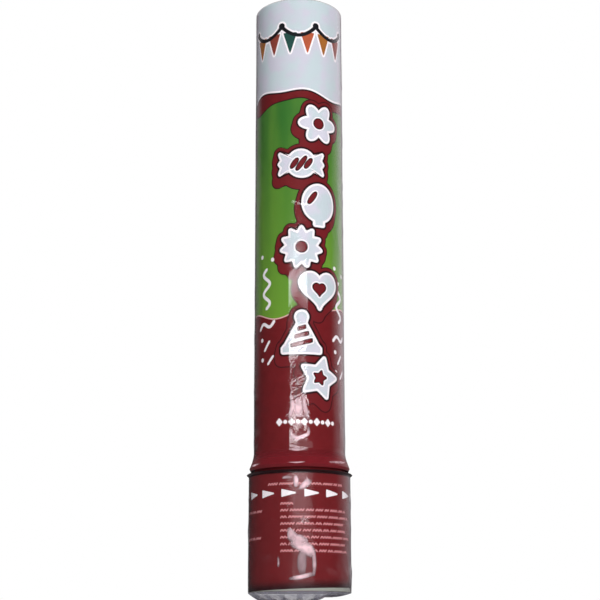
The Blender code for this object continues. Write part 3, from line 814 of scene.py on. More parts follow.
class Finish(Enum):
    """Every finish but the inks."""

    GREY_BOARD = Board("grey_board", (196, 184, 164))
    WHITE_CARD = Board("white_card", (236, 235, 230), ply=0.0005, fibres=0.07)
    BARREL_PRINT = BarrelPrint()
    BASE_PRINT = BasePrint()
    BARREL_FILM = Film("barrel_shrink_film", ink_and_shade_starts=0.0712, ink_and_shade_full=0.0664)
    # The base film's near-black band at its rim is painted shade under the barrel's flare.
    BASE_FILM = Film("base_shrink_film", roughness=0.16, ink=(34, 4, 8), ink_and_shade_starts=0.0588, ink_and_shade_full=0.0596)
    # The welts' pink-white milk is a painted highlight, standing in for reflections of the lights in the
    # film.
    HIGHLIGHT_WELT_FILM = Film("painted_highlight_film", (254, 212, 220), haze_and_highlight=0.80, patches=300.0, gloss=1.6,
                       roughness=0.16)
    # The gathered end's milk is the haze of folded film, and its grey is partly painted shade.
    GATHERED_FILM = Film("gathered_shrink_film", (160, 158, 170), haze_and_highlight=0.44, roughness=0.16)
    WHITE_MOULDING = Moulding("white_moulding", (232, 232, 228))
    RED_MOULDING = Moulding("red_moulding", (190, 44, 40))
    BARE_ALUMINIUM = DrawnAluminium()
    BLACK_RUBBER = Rubber()
    WHITE_FOAM = Foam()
    TISSUE_GOLD = Tissue("tissue_gold", (232, 190, 66))
    TISSUE_GREEN = Tissue("tissue_green", (88, 172, 70))
    TISSUE_RED = Tissue("tissue_red", (206, 48, 56))
    TISSUE_WHITE = Tissue("tissue_white", (238, 238, 234))


class Shop:
    """Makes each finish once, and puts pieces on their bodies."""

    def __init__(self) -> None:
        """Start with no material made."""
        self.made: dict[str, bpy.types.Material] = {}

    def finish(self, choice: Finish | Inks) -> bpy.types.Material:
        """Give the material of a finish, made at its first use.

        Args:
            choice: the finish.

        Returns:
            Its material.
        """
        if choice.name not in self.made:
            self.made[choice.name] = choice.value.build()
        return self.made[choice.name]

    def place(self, piece: bpy.types.Object, body: str, slot: str, *nodes: str) -> bpy.types.Object:
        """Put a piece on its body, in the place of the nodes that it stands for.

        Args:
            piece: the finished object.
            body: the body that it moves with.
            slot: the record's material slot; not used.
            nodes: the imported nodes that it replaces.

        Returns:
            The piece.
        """
        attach(piece, body)
        if nodes:
            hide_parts(*nodes)
        LOG.info("%s on %s, %d faces", piece.name, body, len(piece.data.polygons))
        return piece

    def put(self, surface: Surface, name: str, choice: Finish | Inks, body: str, slot: str,
            *nodes: str) -> bpy.types.Object:
        """Make a surface into a piece with a finish, and place it."""
        return self.place(surface.make(name, self.finish(choice)), body, slot, *nodes)

    def smooth_copy(self, node: str, body: str, choice: Finish) -> None:
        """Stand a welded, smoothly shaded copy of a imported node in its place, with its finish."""
        piece = dress_mesh(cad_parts[node].data.copy(), node + "_moulded", self.finish(choice))
        self.place(piece, body, choice.value.name, node)


# Prints and welts: thin sheets, drawn flat in (along, up) and bent onto a tube

def ring_points(radius: Array | float, count: int = 360) -> Array:
    """List points at a radius, which may change with the angle."""
    angle = np.arange(count) / count * FULL_TURN
    return np.stack([radius * np.cos(angle), radius * np.sin(angle)], axis=-1)


def slanted(half_width: float, half_length: float, lean: float) -> Array:
    """List points of an ellipse that leans from upright by an angle."""
    points = ring_points(1.0) * (half_width, half_length)
    return points @ np.array([[math.cos(lean), math.sin(lean)], [-math.sin(lean), math.cos(lean)]])


def edged(corners: Sequence[Spot], per_side: int = 60) -> Array:
    """List points along the sides of a polygon: point s of a side is its start + (its end - its start) s.

    Args:
        corners: the polygon's corners.
        per_side: points on a side.

    Returns:
        The points.
    """
    first = np.array(corners)
    share = np.arange(per_side)[:, None, None] / per_side
    return (first + (np.roll(first, -1, axis=0) - first) * share).reshape(-1, 2)


def spiked(outer: float, inner: float, spikes: int, lean: float = 0.0, per_side: int = 60) -> Array:
    """List points along the sides of a star.

    Args:
        outer: radius of its points.
        inner: radius of the corners between them.
        spikes: number of points.
        lean: angle of the first point from upright.
        per_side: points on a side.

    Returns:
        The points.
    """
    turned = [(radius, corner * math.pi / spikes + lean)
              for corner, radius in enumerate((outer, inner) * spikes)]
    return edged([(radius * math.sin(angle), radius * math.cos(angle)) for radius, angle in turned], per_side)


def rounded_path(corners: Array, count: int = 60, window: int = 9) -> Array:
    """Give a line of corners even points, and round it: each point is the mean of the window about it.

    Args:
        corners: the line's corners.
        count: number of points.
        window: points in a mean, an odd number.

    Returns:
        The points.
    """
    run = np.concatenate([[0.0], np.cumsum(np.linalg.norm(np.diff(corners, axis=0), axis=1))])
    even = np.linspace(0.0, run[-1], count)
    line = np.stack([np.interp(even, run, corners[:, axis]) for axis in (0, 1)], axis=-1)
    padded = np.pad(line, ((window // 2, window // 2), (0, 0)), mode="edge")
    mean = np.full(window, 1.0 / window)
    return np.stack([np.convolve(padded[:, axis], mean, "valid") for axis in (0, 1)], axis=-1)


@dataclass(frozen=True)
class HighlightWelt:
    """A place where film has shrunk double into a raised strip, with a pink-white painted highlight on it:
    its line's corners and its width at both ends, in millimetres.

    milk_and_highlight says how far the painted highlight covers its middle, 0 to 1.
    """

    corners: tuple[Spot, ...]
    widths: Spot
    height: float
    milk_and_highlight: float


class Stencil:
    """Shapes drawn flat, in (along, up) metres, and laid on a tube as thin closed sheets."""

    SPOKES = 96
    RINGS = 9
    CORNER = 0.00025
    TIP_STEPS = 4
    TIP_ROUND = 0.96
    TIP_START = 0.12

    def __init__(self, radius: float, thickness: float,
                 flare: Callable[[Array], Array] | None = None) -> None:
        """Set the tube that the sheets lie on.

        Args:
            radius: the tube's radius.
            thickness: the sheets' thickness.
            flare: how far the tube stands out from the radius at a height, where it isn't straight.
        """
        self.radius = radius
        self.thickness = thickness
        self.flare = flare
        self.surface = Surface()

    def bent(self, along: Array, up: Array, lift: Array) -> Array:
        """Bend flat points round the tube: the angle is along / radius, and lift and flare add to radius."""
        flare = self.flare(up) if self.flare else 0.0
        return round_axis(self.radius + lift + flare, along / self.radius, up)

    @staticmethod
    def reach(outline: Array, margin: float, angles: Array) -> Array:
        """Give how far an outline, grown by a margin, reaches from its centre in each direction.

        Growing puts a disc on every point of the outline. A ray leaves a disc of radius m, whose centre is p
        along the ray and q beside it, at p + sqrt(m m - q q), and the reach is the largest of these.

        Args:
            outline: points of the outline about its centre.
            margin: radius of the disc.
            angles: the directions.

        Returns:
            The reach in each direction.
        """
        ray = np.stack([np.cos(angles), np.sin(angles)])
        along = outline @ ray
        beside = outline @ np.stack([-ray[1], ray[0]])
        inside = np.clip(margin ** 2 - beside ** 2, 0.0, None)
        return np.where(np.abs(beside) < margin, along + np.sqrt(inside), 0.0).max(axis=0)

    def add_shape(self, outline: Array, centre: Spot, margin: float = 0.0) -> None:
        """Lay a filled shape: rings from its centre to its grown outline, on both sides of the sheet.

        Args:
            outline: points of the outline about its centre.
            centre: where the centre goes.
            margin: growth of the outline.
        """
        angles = turns(self.SPOKES)[:, 0]
        reach = self.reach(outline, self.CORNER + margin, angles)[:, None]
        share = np.linspace(0.0, 1.0, self.RINGS)
        share = np.concatenate([share, share[::-1]])
        lift = np.repeat([self.thickness, 0.0], self.RINGS)
        along = centre[0] + reach * share * np.cos(angles)[:, None]
        up = centre[1] + reach * share * np.sin(angles)[:, None]
        self.surface.add(self.bent(along, up, np.broadcast_to(lift, along.shape)),
                         grid_quads(self.SPOKES, 2 * self.RINGS, True, False))

    @staticmethod
    def heading(path: Array) -> Array:
        """Give the unit vector of a path's run at each of its points."""
        step = np.gradient(path, axis=0)
        return step / np.linalg.norm(step, axis=1, keepdims=True)

    @staticmethod
    def beside(path: Array, heading: Array, spread: Array) -> Array:
        """Give a row of points across each point of a path: path + spread * (heading turned left)."""
        side = np.stack([-heading[:, 1], heading[:, 0]], axis=-1)
        return path[:, None, :] + side[:, None, :] * spread[..., None]

    def add_stroke(self, path: Array, width: float, margin: float = 0.0) -> None:
        """Lay a stroke with round ends: a flat strip carried along a path.

        Args:
            path: points of the path, evenly spaced.
            width: width of the stroke.
            margin: growth on every side.
        """
        heading = self.heading(path)
        half = width / 2 + margin
        tip = np.linspace(0.0, 1.0, self.TIP_STEPS + 1)[:-1]
        back = half * (1.0 - np.sin(tip * math.pi / 2))[:, None]
        narrow = np.cos((1.0 - tip) * math.pi / 2 * self.TIP_ROUND)
        narrow[0] = self.TIP_START
        line = np.concatenate([path[0] - heading[0] * back, path, path[-1] + heading[-1] * back[::-1]])
        heading = np.pad(heading, ((self.TIP_STEPS, self.TIP_STEPS), (0, 0)), mode="edge")
        reach = half * np.concatenate([narrow, np.ones(len(path)), narrow[::-1]])
        spots = self.beside(line, heading, reach[:, None] * np.array([-1.0, 0.0, 1.0, 1.0, 0.0, -1.0]))
        lift = np.broadcast_to(np.repeat([self.thickness, 0.0], 3), spots.shape[:2])
        self.surface.add_swept(self.bent(spots[..., 0], spots[..., 1], lift))

    def add_highlight_welt(self, highlight_welt: HighlightWelt) -> None:
        """Lay a welt: a raised strip along its rounded line, carrying a painted highlight.

        Its height is height taper cos(pi across / 2)^2 and its painted highlight's cover is
        milk_and_highlight taper^2 (1 - |across|^3), where across goes from -1 to 1 over its width and taper
        is sin(pi share)^0.4 along its line.

        Args:
            highlight_welt: the welt.
        """
        path = rounded_path(np.array(highlight_welt.corners) * MM)
        share = np.linspace(0.0, 1.0, len(path))[:, None]
        taper = np.sin((0.02 + 0.96 * share) * math.pi) ** 0.4
        across = np.linspace(-1.0, 1.0, 11)
        crown = highlight_welt.height * MM * taper * np.cos(across * math.pi / 2) ** 2
        cover = highlight_welt.milk_and_highlight * taper ** 2 * (1.0 - np.abs(across) ** 3)
        half = (highlight_welt.widths[0] + (highlight_welt.widths[1] - highlight_welt.widths[0]) * share) * MM / 2
        spots = self.beside(path, self.heading(path), half * taper * np.concatenate([across, across[::-1]]))
        lift = np.concatenate([crown, np.full_like(crown, -self.thickness)], axis=1)
        self.surface.add_swept(self.bent(spots[..., 0], spots[..., 1], lift),
                               np.concatenate([cover, np.zeros_like(cover)], axis=1))


class Motif(Enum):
    """The party shapes of the barrel's print."""

    STAR = "star"
    HAT = "hat"
    HEART = "heart"
    BURST = "burst"
    BALLOON = "balloon"
    SWEET = "sweet"
    FLOWER = "flower"
    CROWN = "crown"

    def outline(self) -> Array:
        """Give the outline, in millimetres about its centre.

        The heart is (16 sin(a)^3, 13 cos a - 5 cos 2a - 2 cos 3a - cos 4a), made smaller, and the flower's
        radius is 7.1 + 1.9 cos(6a). The others are stars, polygons, circles and ellipses.

        Returns:
            Points of the outline.
        """
        if self is Motif.STAR:
            return spiked(9.2, 4.9, 5, lean=0.25)
        if self is Motif.BURST:
            return spiked(9.2, 6.3, 11, per_side=20)
        if self is Motif.HAT:
            cone = edged([(-8.2, -7.4), (8.2, -7.4), (0.0, 7.0)])
            brim = edged([(-8.6, -8.6), (8.6, -8.6), (8.6, -6.6), (-8.6, -6.6)])
            return np.concatenate([cone, ring_points(2.3) + (0.0, 7.4), brim])
        if self is Motif.HEART:
            angle = turns(360)[:, 0]
            along = 16.0 * np.sin(angle) ** 3
            up = 13.0 * np.cos(angle) - 5.0 * np.cos(2 * angle) - 2.0 * np.cos(3 * angle) - np.cos(4 * angle)
            return np.stack([along, up + 2.0], axis=-1) * 0.56
        if self is Motif.BALLOON:
            body = ring_points(1.0) * (7.4, 8.4) + (0.0, 1.2)
            return np.concatenate([body, edged([(0.0, -6.0), (2.0, -9.2), (-2.0, -9.2)])])
        if self is Motif.SWEET:
            twist = ((0.0, 0.0), (10.2, 4.8), (8.9, 1.7), (10.4, 0.0), (8.9, -1.7), (10.2, -4.8))
            ends = [edged([(side * along, up) for along, up in twist]) for side in (-1.0, 1.0)]
            return np.concatenate([ring_points(6.0), *ends])
        if self is Motif.FLOWER:
            return ring_points(7.1 + 1.9 * np.cos(6 * turns(360)[:, 0]))
        band = edged([(-7.4, -7.2), (7.4, -7.2), (9.0, 4.6), (4.2, 0.2), (0.0, 7.4), (-4.2, 0.2),
                      (-9.0, 4.6)])
        return np.concatenate([band, ring_points(0.9) + (-9.0, 5.0), ring_points(0.9) + (9.0, 5.0)])

    def marks(self) -> list[tuple[Array, Spot]]:
        """Give the dark marks inside.

        Returns:
            The outline and the centre of each mark, in millimetres.
        """
        if self in (Motif.STAR, Motif.HEART):
            return [(self.outline() * 0.34, (0.0, 0.4 if self is Motif.HEART else 0.0))]
        if self is Motif.BURST:
            return [(ring_points(2.3), (0.0, 0.0))]
        if self is Motif.FLOWER:
            return [(ring_points(2.2), (0.0, 0.0))]
        if self is Motif.BALLOON:
            return [(slanted(0.8, 3.2, -0.6), (-3.4, 3.6))]
        if self is Motif.SWEET:
            stripes = ((2.6, -3.3), (3.9, 0.0), (2.6, 3.3))
            return [(slanted(0.75, reach, -0.6), (along, 0.0)) for reach, along in stripes]
        if self is Motif.HAT:
            stripes = ((4.6, 1.2, -4.6), (2.9, 0.8, -0.9), (1.5, 0.5, 2.4))
            return [(edged([(-reach, -0.5 - lean), (reach, -0.5 + lean), (reach, 0.5 + lean),
                            (-reach, 0.5 - lean)]), (0.0, up)) for reach, lean, up in stripes]
        gems = [(ring_points(1.0), spot) for spot in ((-4.4, -1.6), (0.0, -1.2), (4.4, -1.6))]
        return [(edged([(-6.0, -0.5), (6.0, -0.5), (6.0, 0.5), (-6.0, 0.5)]), (0.0, -4.6)), *gems]


@dataclass
class Barrel:
    """The paper barrel with its print and its film."""

    shop: Shop
    bore: float = 0.0197
    tube_radius: float = 0.0216
    wrap_radius: float = 0.02206
    wrap_thick: float = 0.00016
    film_radius: float = 0.02248
    film_thick: float = 0.00010
    foot: float = 0.01855
    top: float = 0.30388
    muzzle: float = 0.3043
    film_held: float = 0.0040
    flare_top: float = 0.0713
    flare_crest: float = 0.0635
    flare_end: float = 0.0621
    flare_radius: float = 0.02459
    facets: int = 192
    segments: int = 180
    ink: float = 0.000018
    ink_gap: float = 0.000007
    motif_foot: float = 0.1055
    motif_step: float = 0.0218
    motif_lean: float = 0.0058
    motif_swing: float = 0.0046
    motif_scale: float = 1.07 * MM
    motif_rows: int = 7
    back_shift: int = 3
    shadow_drop: float = 0.0036
    shadow_shift: float = 0.0010
    backing: float = 0.0034
    backing_edge: float = 0.0005
    outline: float = 0.0021
    rim: float = 0.0011
    mark_edge: float = 0.0004
    mark_share: float = 0.92
    streamer_reach: float = 0.0210
    bunting_top: float = 0.2895
    bunting_sag: float = 0.0055
    bunting_reach: float = 0.0270
    cord_width: float = 0.0019
    pin_radius: float = 0.0014
    flag_drop: float = 0.0030
    bit_level: float = 0.0838
    bit_start: float = -0.0100
    bit_step: float = 0.0031
    bit_count: int = 10

    MOTIF_LAYERS = (("motif_shadow_edges", Inks.DARK), ("motif_shadows", Inks.CRIMSON),
                    ("motif_outlines", Inks.DARK), ("motif_rims", Inks.WHITE), ("motif_fills", Inks.PALE),
                    ("motif_mark_rims", Inks.WHITE), ("motif_mark_edges", Inks.DARK),
                    ("motif_marks", Inks.CRIMSON))
    # Streamers: the side of the shapes and the level of the foot. The rest is in millimetres from there:
    # dashes by place and run, and dots by place.
    STREAMERS = ((-1.0, 0.112), (1.0, 0.106))
    DASHES = (((-1.2, 8.0), (3.2, 4.2)), ((1.2, 1.0), (3.2, 3.6)))
    DOTS = ((-3.4, 13.5), (-3.0, 3.5), (4.0, 53.5), (-3.6, 56.0))
    FLAG = ((-3.3, 3.0), (3.3, 3.0), (0.0, -7.8))
    FLAG_INKS = (Inks.AMBER, Inks.BRICK, Inks.TEAL, Inks.CORAL)
    # Welts whose milk is a painted highlight: on the front below the shapes, and along the flare.
    HIGHLIGHT_WELTS = (
        HighlightWelt(((-3.9, 80.2), (-4.1, 77.0), (-1.2, 75.4), (1.6, 76.6), (4.3, 77.6), (4.5, 81.6)),
             (2.6, 2.0), 0.10, 0.95),
        HighlightWelt(((-4.0, 96.5), (-3.2, 91.0), (-4.9, 84.5)), (2.4, 2.6), 0.08, 0.75),
        HighlightWelt(((-0.6, 96.0), (-0.4, 91.0), (-0.2, 85.6)), (3.4, 5.4), 0.05, 0.70),
        HighlightWelt(((2.0, 96.8), (2.6, 91.5), (4.5, 84.8)), (1.8, 2.4), 0.08, 0.75),
        HighlightWelt(((-4.6, 70.6), (-1.0, 70.2), (3.0, 71.0)), (1.8, 1.4), 0.08, 0.60),
        HighlightWelt(((-29.0, 64.4), (-24.5, 64.2), (-20.0, 64.6)), (1.2, 1.2), 0.06, 0.80),
        HighlightWelt(((-5.8, 64.1), (-1.2, 63.9), (2.8, 64.3)), (1.1, 0.9), 0.06, 0.60),
        HighlightWelt(((11.0, 64.5), (19.0, 65.0), (27.0, 65.8)), (1.0, 1.6), 0.06, 0.40))

    def build(self) -> None:
        """Make every piece of the barrel."""
        tube = board_tube(self.bore, self.tube_radius, self.foot, self.top, self.facets)
        self.shop.put(tube, "barrel_board_tube", Finish.GREY_BOARD, "barrel", "grey_board", "barrel_tube")
        sheet = printed_sheet(self.wrap_radius, self.wrap_thick, self.foot, self.top, 60, self.facets)
        self.shop.put(sheet, "barrel_printed_sheet", Finish.BARREL_PRINT, "barrel", "barrel_print",
                      "barrel_wrap")
        self.motifs()
        self.streamers()
        self.bunting()
        self.confetti_row()
        self.film()
        self.highlight_welts()
        self.shop.smooth_copy("barrel_bush", "barrel", Finish.WHITE_MOULDING)
        self.shop.smooth_copy("valve_housing", "barrel", Finish.WHITE_MOULDING)

    @property
    def sides(self) -> tuple[float, float]:
        """Give the middle of the front and of the back, along the paper."""
        return 0.0, math.pi * self.wrap_radius

    def layer(self, number: int) -> Stencil:
        """Give a stencil for the sheets of one layer of ink, counted out from the paper."""
        return Stencil(self.wrap_radius + self.ink_gap + number * (self.ink + self.ink_gap), self.ink)

    def print_layer(self, stencil: Stencil, name: str, ink: Inks) -> None:
        """Make a layer of ink and put it on the barrel."""
        self.shop.put(stencil.surface, name, ink, "barrel", "barrel_print")

    def motifs(self) -> None:
        """Print the party shapes, with shadow, outline, rim, fill and marks, in two swinging columns."""
        layers = [self.layer(number) for number in range(len(self.MOTIF_LAYERS))]
        edge, shadow, outline, rim, fill, mark_rim, mark_edge, mark = layers
        order = list(Motif)
        drop = np.array([-self.shadow_shift, -self.shadow_drop])
        for side, middle in enumerate(self.sides):
            for row in range(self.motif_rows):
                motif = order[(row + self.back_shift * side) % len(order)]
                swing = self.motif_swing * (-1.0 if (row + side) % 2 else 1.0)
                centre = np.array([self.motif_lean + swing + middle, self.motif_foot + self.motif_step * row])
                shape = motif.outline() * self.motif_scale
                dropped = np.concatenate([shape + drop * share for share in np.linspace(0.0, 1.0, 6)])
                edge.add_shape(dropped, centre, self.backing + self.backing_edge)
                shadow.add_shape(dropped, centre, self.backing)
                outline.add_shape(shape, centre, self.outline)
                rim.add_shape(shape, centre, self.rim)
                fill.add_shape(shape, centre)
                for points, place in motif.marks():
                    points, spot = points * self.motif_scale, centre + np.array(place) * self.motif_scale
                    mark_rim.add_shape(points, spot, self.rim)
                    mark_edge.add_shape(points, spot, self.mark_edge)
                    mark.add_shape(points * self.mark_share, spot)
        for stencil, (name, ink) in zip(layers, self.MOTIF_LAYERS):
            self.print_layer(stencil, name, ink)

    def streamers(self) -> None:
        """Print the streamers, dots and dashes beside the shapes.

        In millimetres from its foot, for s from 0 to 1, a curl is (2.2 sin(4 pi s), 29 + 20 s) and a wave is
        (10 s - 5, 19 + 3 s + 1.6 sin(2 pi s)).
        """
        stencil = self.layer(0)
        rise = np.linspace(0.0, 1.0, 60)
        curl = np.stack([2.2 * np.sin(2.0 * FULL_TURN * rise), 29.0 + 20.0 * rise], axis=-1) * MM
        wave = np.stack([10.0 * rise - 5.0, 19.0 + 3.0 * rise + 1.6 * np.sin(FULL_TURN * rise)], axis=-1) * MM
        for middle in self.sides:
            for side, foot in self.STREAMERS:
                start = np.array([middle + self.motif_lean / 2 + side * self.streamer_reach, foot])
                stencil.add_stroke(start + curl, 1.7 * MM)
                stencil.add_stroke(start + wave, 1.6 * MM)
                for place, run in self.DASHES:
                    stencil.add_stroke(start + (place + rise[:, None] * run) * MM, 1.3 * MM)
                for dot in self.DOTS:
                    stencil.add_shape(ring_points(0.6 * MM), start + np.array(dot) * MM, 0.2 * MM)
        self.print_layer(stencil, "streamers_and_dots", Inks.WHITE)

    def bunting(self) -> None:
        """Print pennants on the pale band: a cord in three swags between four pins, each with two flags."""
        white, cord = self.layer(0), self.layer(2)
        flags = {ink: self.layer(1) for ink in self.FLAG_INKS}
        flag = edged(self.FLAG) * MM
        pin = ring_points(self.pin_radius)
        share = np.linspace(-1.0, 1.0, 240)
        for middle in self.sides:
            line = np.stack([middle + self.bunting_reach * share, self.swag(share)], axis=-1)
            cord.add_stroke(line, self.cord_width)
            white.add_stroke(line, self.cord_width, 1.0 * MM)
            for spot in np.linspace(-1.0, 1.0, 4):
                place = (middle + self.bunting_reach * spot, self.bunting_top + 0.2 * MM)
                cord.add_shape(pin, place)
                white.add_shape(pin, place, 1.0 * MM)
            for number, spot in enumerate(np.linspace(-5.0 / 6.0, 5.0 / 6.0, 6)):
                place = (middle + self.bunting_reach * spot, self.swag(spot) - self.flag_drop)
                flags[self.FLAG_INKS[number % len(self.FLAG_INKS)]].add_shape(flag, place)
                white.add_shape(flag, place, 0.9 * MM)
        self.print_layer(white, "bunting_rims", Inks.WHITE)
        self.print_layer(cord, "bunting_cord", Inks.BLACK)
        for ink, stencil in flags.items():
            self.print_layer(stencil, f"bunting_{ink.name.lower()}_flags", ink)

    def swag(self, share: Array | float) -> Array | float:
        """Give the cord's height at a share, -1 to 1, of its reach: top - sag |cos(1.5 pi share)|^0.8."""
        return self.bunting_top - self.bunting_sag * np.abs(np.cos(1.5 * math.pi * share)) ** 0.8

    def confetti_row(self) -> None:
        """Print a row of small confetti bits under the shapes, front and back."""
        stencil = self.layer(0)
        bits = (edged([(-1.5, 0.0), (0.0, -1.7), (1.5, 0.0), (0.0, 1.7)]), ring_points(0.75))
        for middle in self.sides:
            for number in range(self.bit_count):
                along = middle + self.bit_start + self.bit_step * number
                stencil.add_shape(bits[number % len(bits)] * MM, (along, self.bit_level))
        self.print_layer(stencil, "confetti_bits", Inks.WHITE)

    def flare_out(self, level: Array) -> Array:
        """Give how far the film stands out: nothing above the flare, then share^1.7 down to its crest."""
        share = np.clip((self.flare_top - level) / (self.flare_top - self.flare_crest), 0.0, 1.0)
        return (self.flare_radius - self.film_radius) * share ** 1.7

    def film(self) -> None:
        """Make the film: turned in over the muzzle, down the barrel with its relief, and out to the flare."""
        run = np.concatenate([np.linspace(self.muzzle - 0.4 * MM, self.flare_top, 190),
                              np.linspace(self.flare_top, self.flare_crest, 14)[1:]])
        turned_in = [self.bore + 0.3 * MM, self.film_radius - 1.2 * MM, self.film_radius - 0.4 * MM]
        radius = np.concatenate([turned_in, self.film_radius + self.flare_out(run),
                                 [self.flare_radius - 0.6 * MM]])
        level = np.concatenate([self.muzzle - np.array([0.05, 0.02, 0.1]) * MM, run, [self.flare_end]])
        relief = Creases(seed=11, count=110, low=0.060, high=0.300, radius=self.film_radius)
        slack = Creases(seed=5, count=34, low=0.066, high=0.104, radius=self.film_radius, bulge=0.0,
                        ridge=0.00034, turn=math.pi / 2, wide=2.2)
        angle = turns(self.segments)
        free = np.clip((self.muzzle - level) / self.film_held, 0.0, 1.0)
        push = (relief.height(angle, level) + slack.height(angle, level)) * free
        self.shop.put(film_sheet(radius + push, level, angle, self.film_thick), "barrel_shrink_film",
                      Finish.BARREL_FILM, "barrel", "clear_film", "barrel_film")

    def highlight_welts(self) -> None:
        """Make the welts where the film has shrunk double, with their painted highlights."""
        stencil = Stencil(self.film_radius, self.film_thick, self.flare_out)
        for highlight_welt in self.HIGHLIGHT_WELTS:
            stencil.add_highlight_welt(highlight_welt)
        self.shop.put(stencil.surface, "barrel_film_highlight_welts", Finish.HIGHLIGHT_WELT_FILM, "barrel", "clear_film")


@dataclass
class Base:
    """The grip: its board sleeve, print, arrows, film and gathered end, and the plug inside."""

    shop: Shop
    inner: float = 0.02241
    sleeve_radius: float = 0.02401
    wrap_radius: float = 0.02447
    wrap_thick: float = 0.00016
    film_radius: float = 0.02489
    film_thick: float = 0.00010
    foot: float = 0.0043
    top: float = 0.0603
    fin: float = 0.0012
    facets: int = 192
    ink: float = 0.00003
    ink_gap: float = 0.00001
    arrow_level: float = 0.0496
    arrow_count: int = 14
    arrow_shift: float = 0.494
    panel_start: float = -0.0092
    panel_end: float = 0.0315
    zigzag_top: float = 0.0447
    zigzag_step: float = 0.00315
    zigzag_rows: int = 8
    zigzag_ragged: float = 0.0016
    zigzag_pitch: float = 0.0015
    zigzag_swing: float = 0.00055
    zigzag_width: float = 0.00058
    zigzag_gap: float = 0.0009
    gather_width: float = 0.0065
    gather_thick: float = 0.0003
    gather_slope: float = 1.7
    pleat_valley_shade: float = 0.75
    gather_lip: float = 0.0028
    pleats: int = 16
    pleat_height: float = 0.0006
    tuck: float = 0.0024
    tuck_angle: float = 1.65
    tuck_reach: float = 1.25
    tuck_soft: float = 0.35

    # In millimetres along the paper and up. The row over the arrows is by its start, end and level.
    ARROW = ((-2.8, 1.5), (3.6, 0.0), (-2.8, -1.5))
    TOP_ROW = (-0.0160, 0.0250, 0.0540)
    FIRST_ROW_END = -0.0030
    SIDE_ROW_END = 0.0570
    INNER_NODES = (("base_plug", Finish.RED_MOULDING), ("bottle_boot", Finish.WHITE_MOULDING),
                   ("air_bottle", Finish.BARE_ALUMINIUM), ("neck_collar", Finish.BARE_ALUMINIUM),
                   ("fill_bung", Finish.BLACK_RUBBER))
    # Welts whose milk is a painted highlight, on the front of the base.
    HIGHLIGHT_WELTS = (
        HighlightWelt(((-5.2, 33.4), (-3.8, 30.0), (-2.4, 27.0)), (2.6, 6.6), 0.07, 0.85),
        HighlightWelt(((-4.2, 27.6), (-0.4, 27.6), (4.0, 26.6)), (5.6, 5.0), 0.05, 0.80),
        HighlightWelt(((-4.8, 25.8), (-0.6, 25.2), (3.4, 23.8), (7.0, 20.2)), (4.2, 7.0), 0.08, 0.90),
        HighlightWelt(((6.6, 23.4), (7.0, 17.0), (6.8, 10.6)), (2.6, 1.7), 0.06, 0.60),
        HighlightWelt(((-5.4, 9.7), (0.6, 10.5), (7.4, 12.2)), (2.2, 2.6), 0.06, 0.75),
        HighlightWelt(((1.5, 23.4), (1.0, 17.5), (1.2, 11.6)), (4.4, 4.6), 0.04, 0.36),
        HighlightWelt(((-1.9, 58.0), (-1.5, 55.2), (-1.9, 52.0)), (2.4, 2.6), 0.06, 0.85),
        HighlightWelt(((5.6, 55.6), (3.0, 53.8), (-0.4, 51.0)), (4.6, 2.0), 0.06, 0.80),
        HighlightWelt(((-8.6, 56.6), (-6.0, 57.0), (-3.6, 56.8)), (1.7, 1.7), 0.05, 0.60),
        HighlightWelt(((-10.4, 20.0), (-10.2, 17.6), (-10.3, 15.0)), (1.2, 1.2), 0.03, 0.50))

    def build(self) -> None:
        """Make every piece of the base."""
        sleeve = board_tube(self.inner, self.sleeve_radius, self.foot, self.top, self.facets)
        self.shop.put(sleeve, "base_board_sleeve", Finish.GREY_BOARD, "base", "grey_board", "base_sleeve")
        sheet = printed_sheet(self.wrap_radius, self.wrap_thick, self.foot, self.top, 16, self.facets)
        self.shop.put(sheet, "base_printed_sheet", Finish.BASE_PRINT, "base", "base_print", "base_wrap")
        self.arrows()
        self.zigzags()
        self.film()
        self.highlight_welts()
        self.gather()
        for node, choice in self.INNER_NODES:
            self.shop.smooth_copy(node, "base", choice)

    def arrows(self) -> None:
        """Print the ring of arrows that shows which way the base turns."""
        stencil = Stencil(self.wrap_radius + self.ink_gap, self.ink)
        pitch = FULL_TURN * self.wrap_radius / self.arrow_count
        for number in range(self.arrow_count):
            stencil.add_shape(edged(self.ARROW) * MM, ((number + self.arrow_shift) * pitch, self.arrow_level),
                              0.1 * MM)
        self.shop.put(stencil.surface, "turn_arrows", Inks.WHITE, "base", "base_print")

    def zigzag_rows_at(self) -> list[tuple[float, float, float]]:
        """List the rows of zigzags: one over the arrows and a ragged panel under them, front and back.

        Returns:
            The start, the end and the level of each row.
        """
        back = math.pi * self.wrap_radius
        start, end, level = self.TOP_ROW
        rows = [(start, end, level), (back + start, back + end, level)]
        for number in range(self.zigzag_rows):
            level = self.zigzag_top - self.zigzag_step * number
            end = self.panel_end - self.zigzag_ragged * ((number * 3) % 5)
            back_end = self.SIDE_ROW_END if number % 4 == 1 else end
            rows.append((self.panel_start, end if number else self.FIRST_ROW_END, level))
            rows.append((back + self.panel_start, back + back_end, level))
        return rows

    def zigzags(self) -> None:
        """Print the rows of zigzags, in runs of uneven length."""
        stencil = Stencil(self.wrap_radius + self.ink_gap, self.ink)
        draws = np.random.default_rng(41)
        for start, end, level in self.zigzag_rows_at():
            while start < end - self.zigzag_pitch:
                steps = min(int(draws.integers(3, 10)), int(2.0 * (end - start) / self.zigzag_pitch))
                corner = np.arange(steps + 1)
                line = np.stack([start + self.zigzag_pitch / 2 * corner,
                                 level + self.zigzag_swing * np.where(corner % 2, 1.0, -1.0)], axis=-1)
                stencil.add_stroke(rounded_path(line, 5 * steps + 1, 3), self.zigzag_width)
                start = line[-1, 0] + self.zigzag_gap
        self.shop.put(stencil.surface, "fine_zigzags", Inks.ROSE, "base", "base_print")

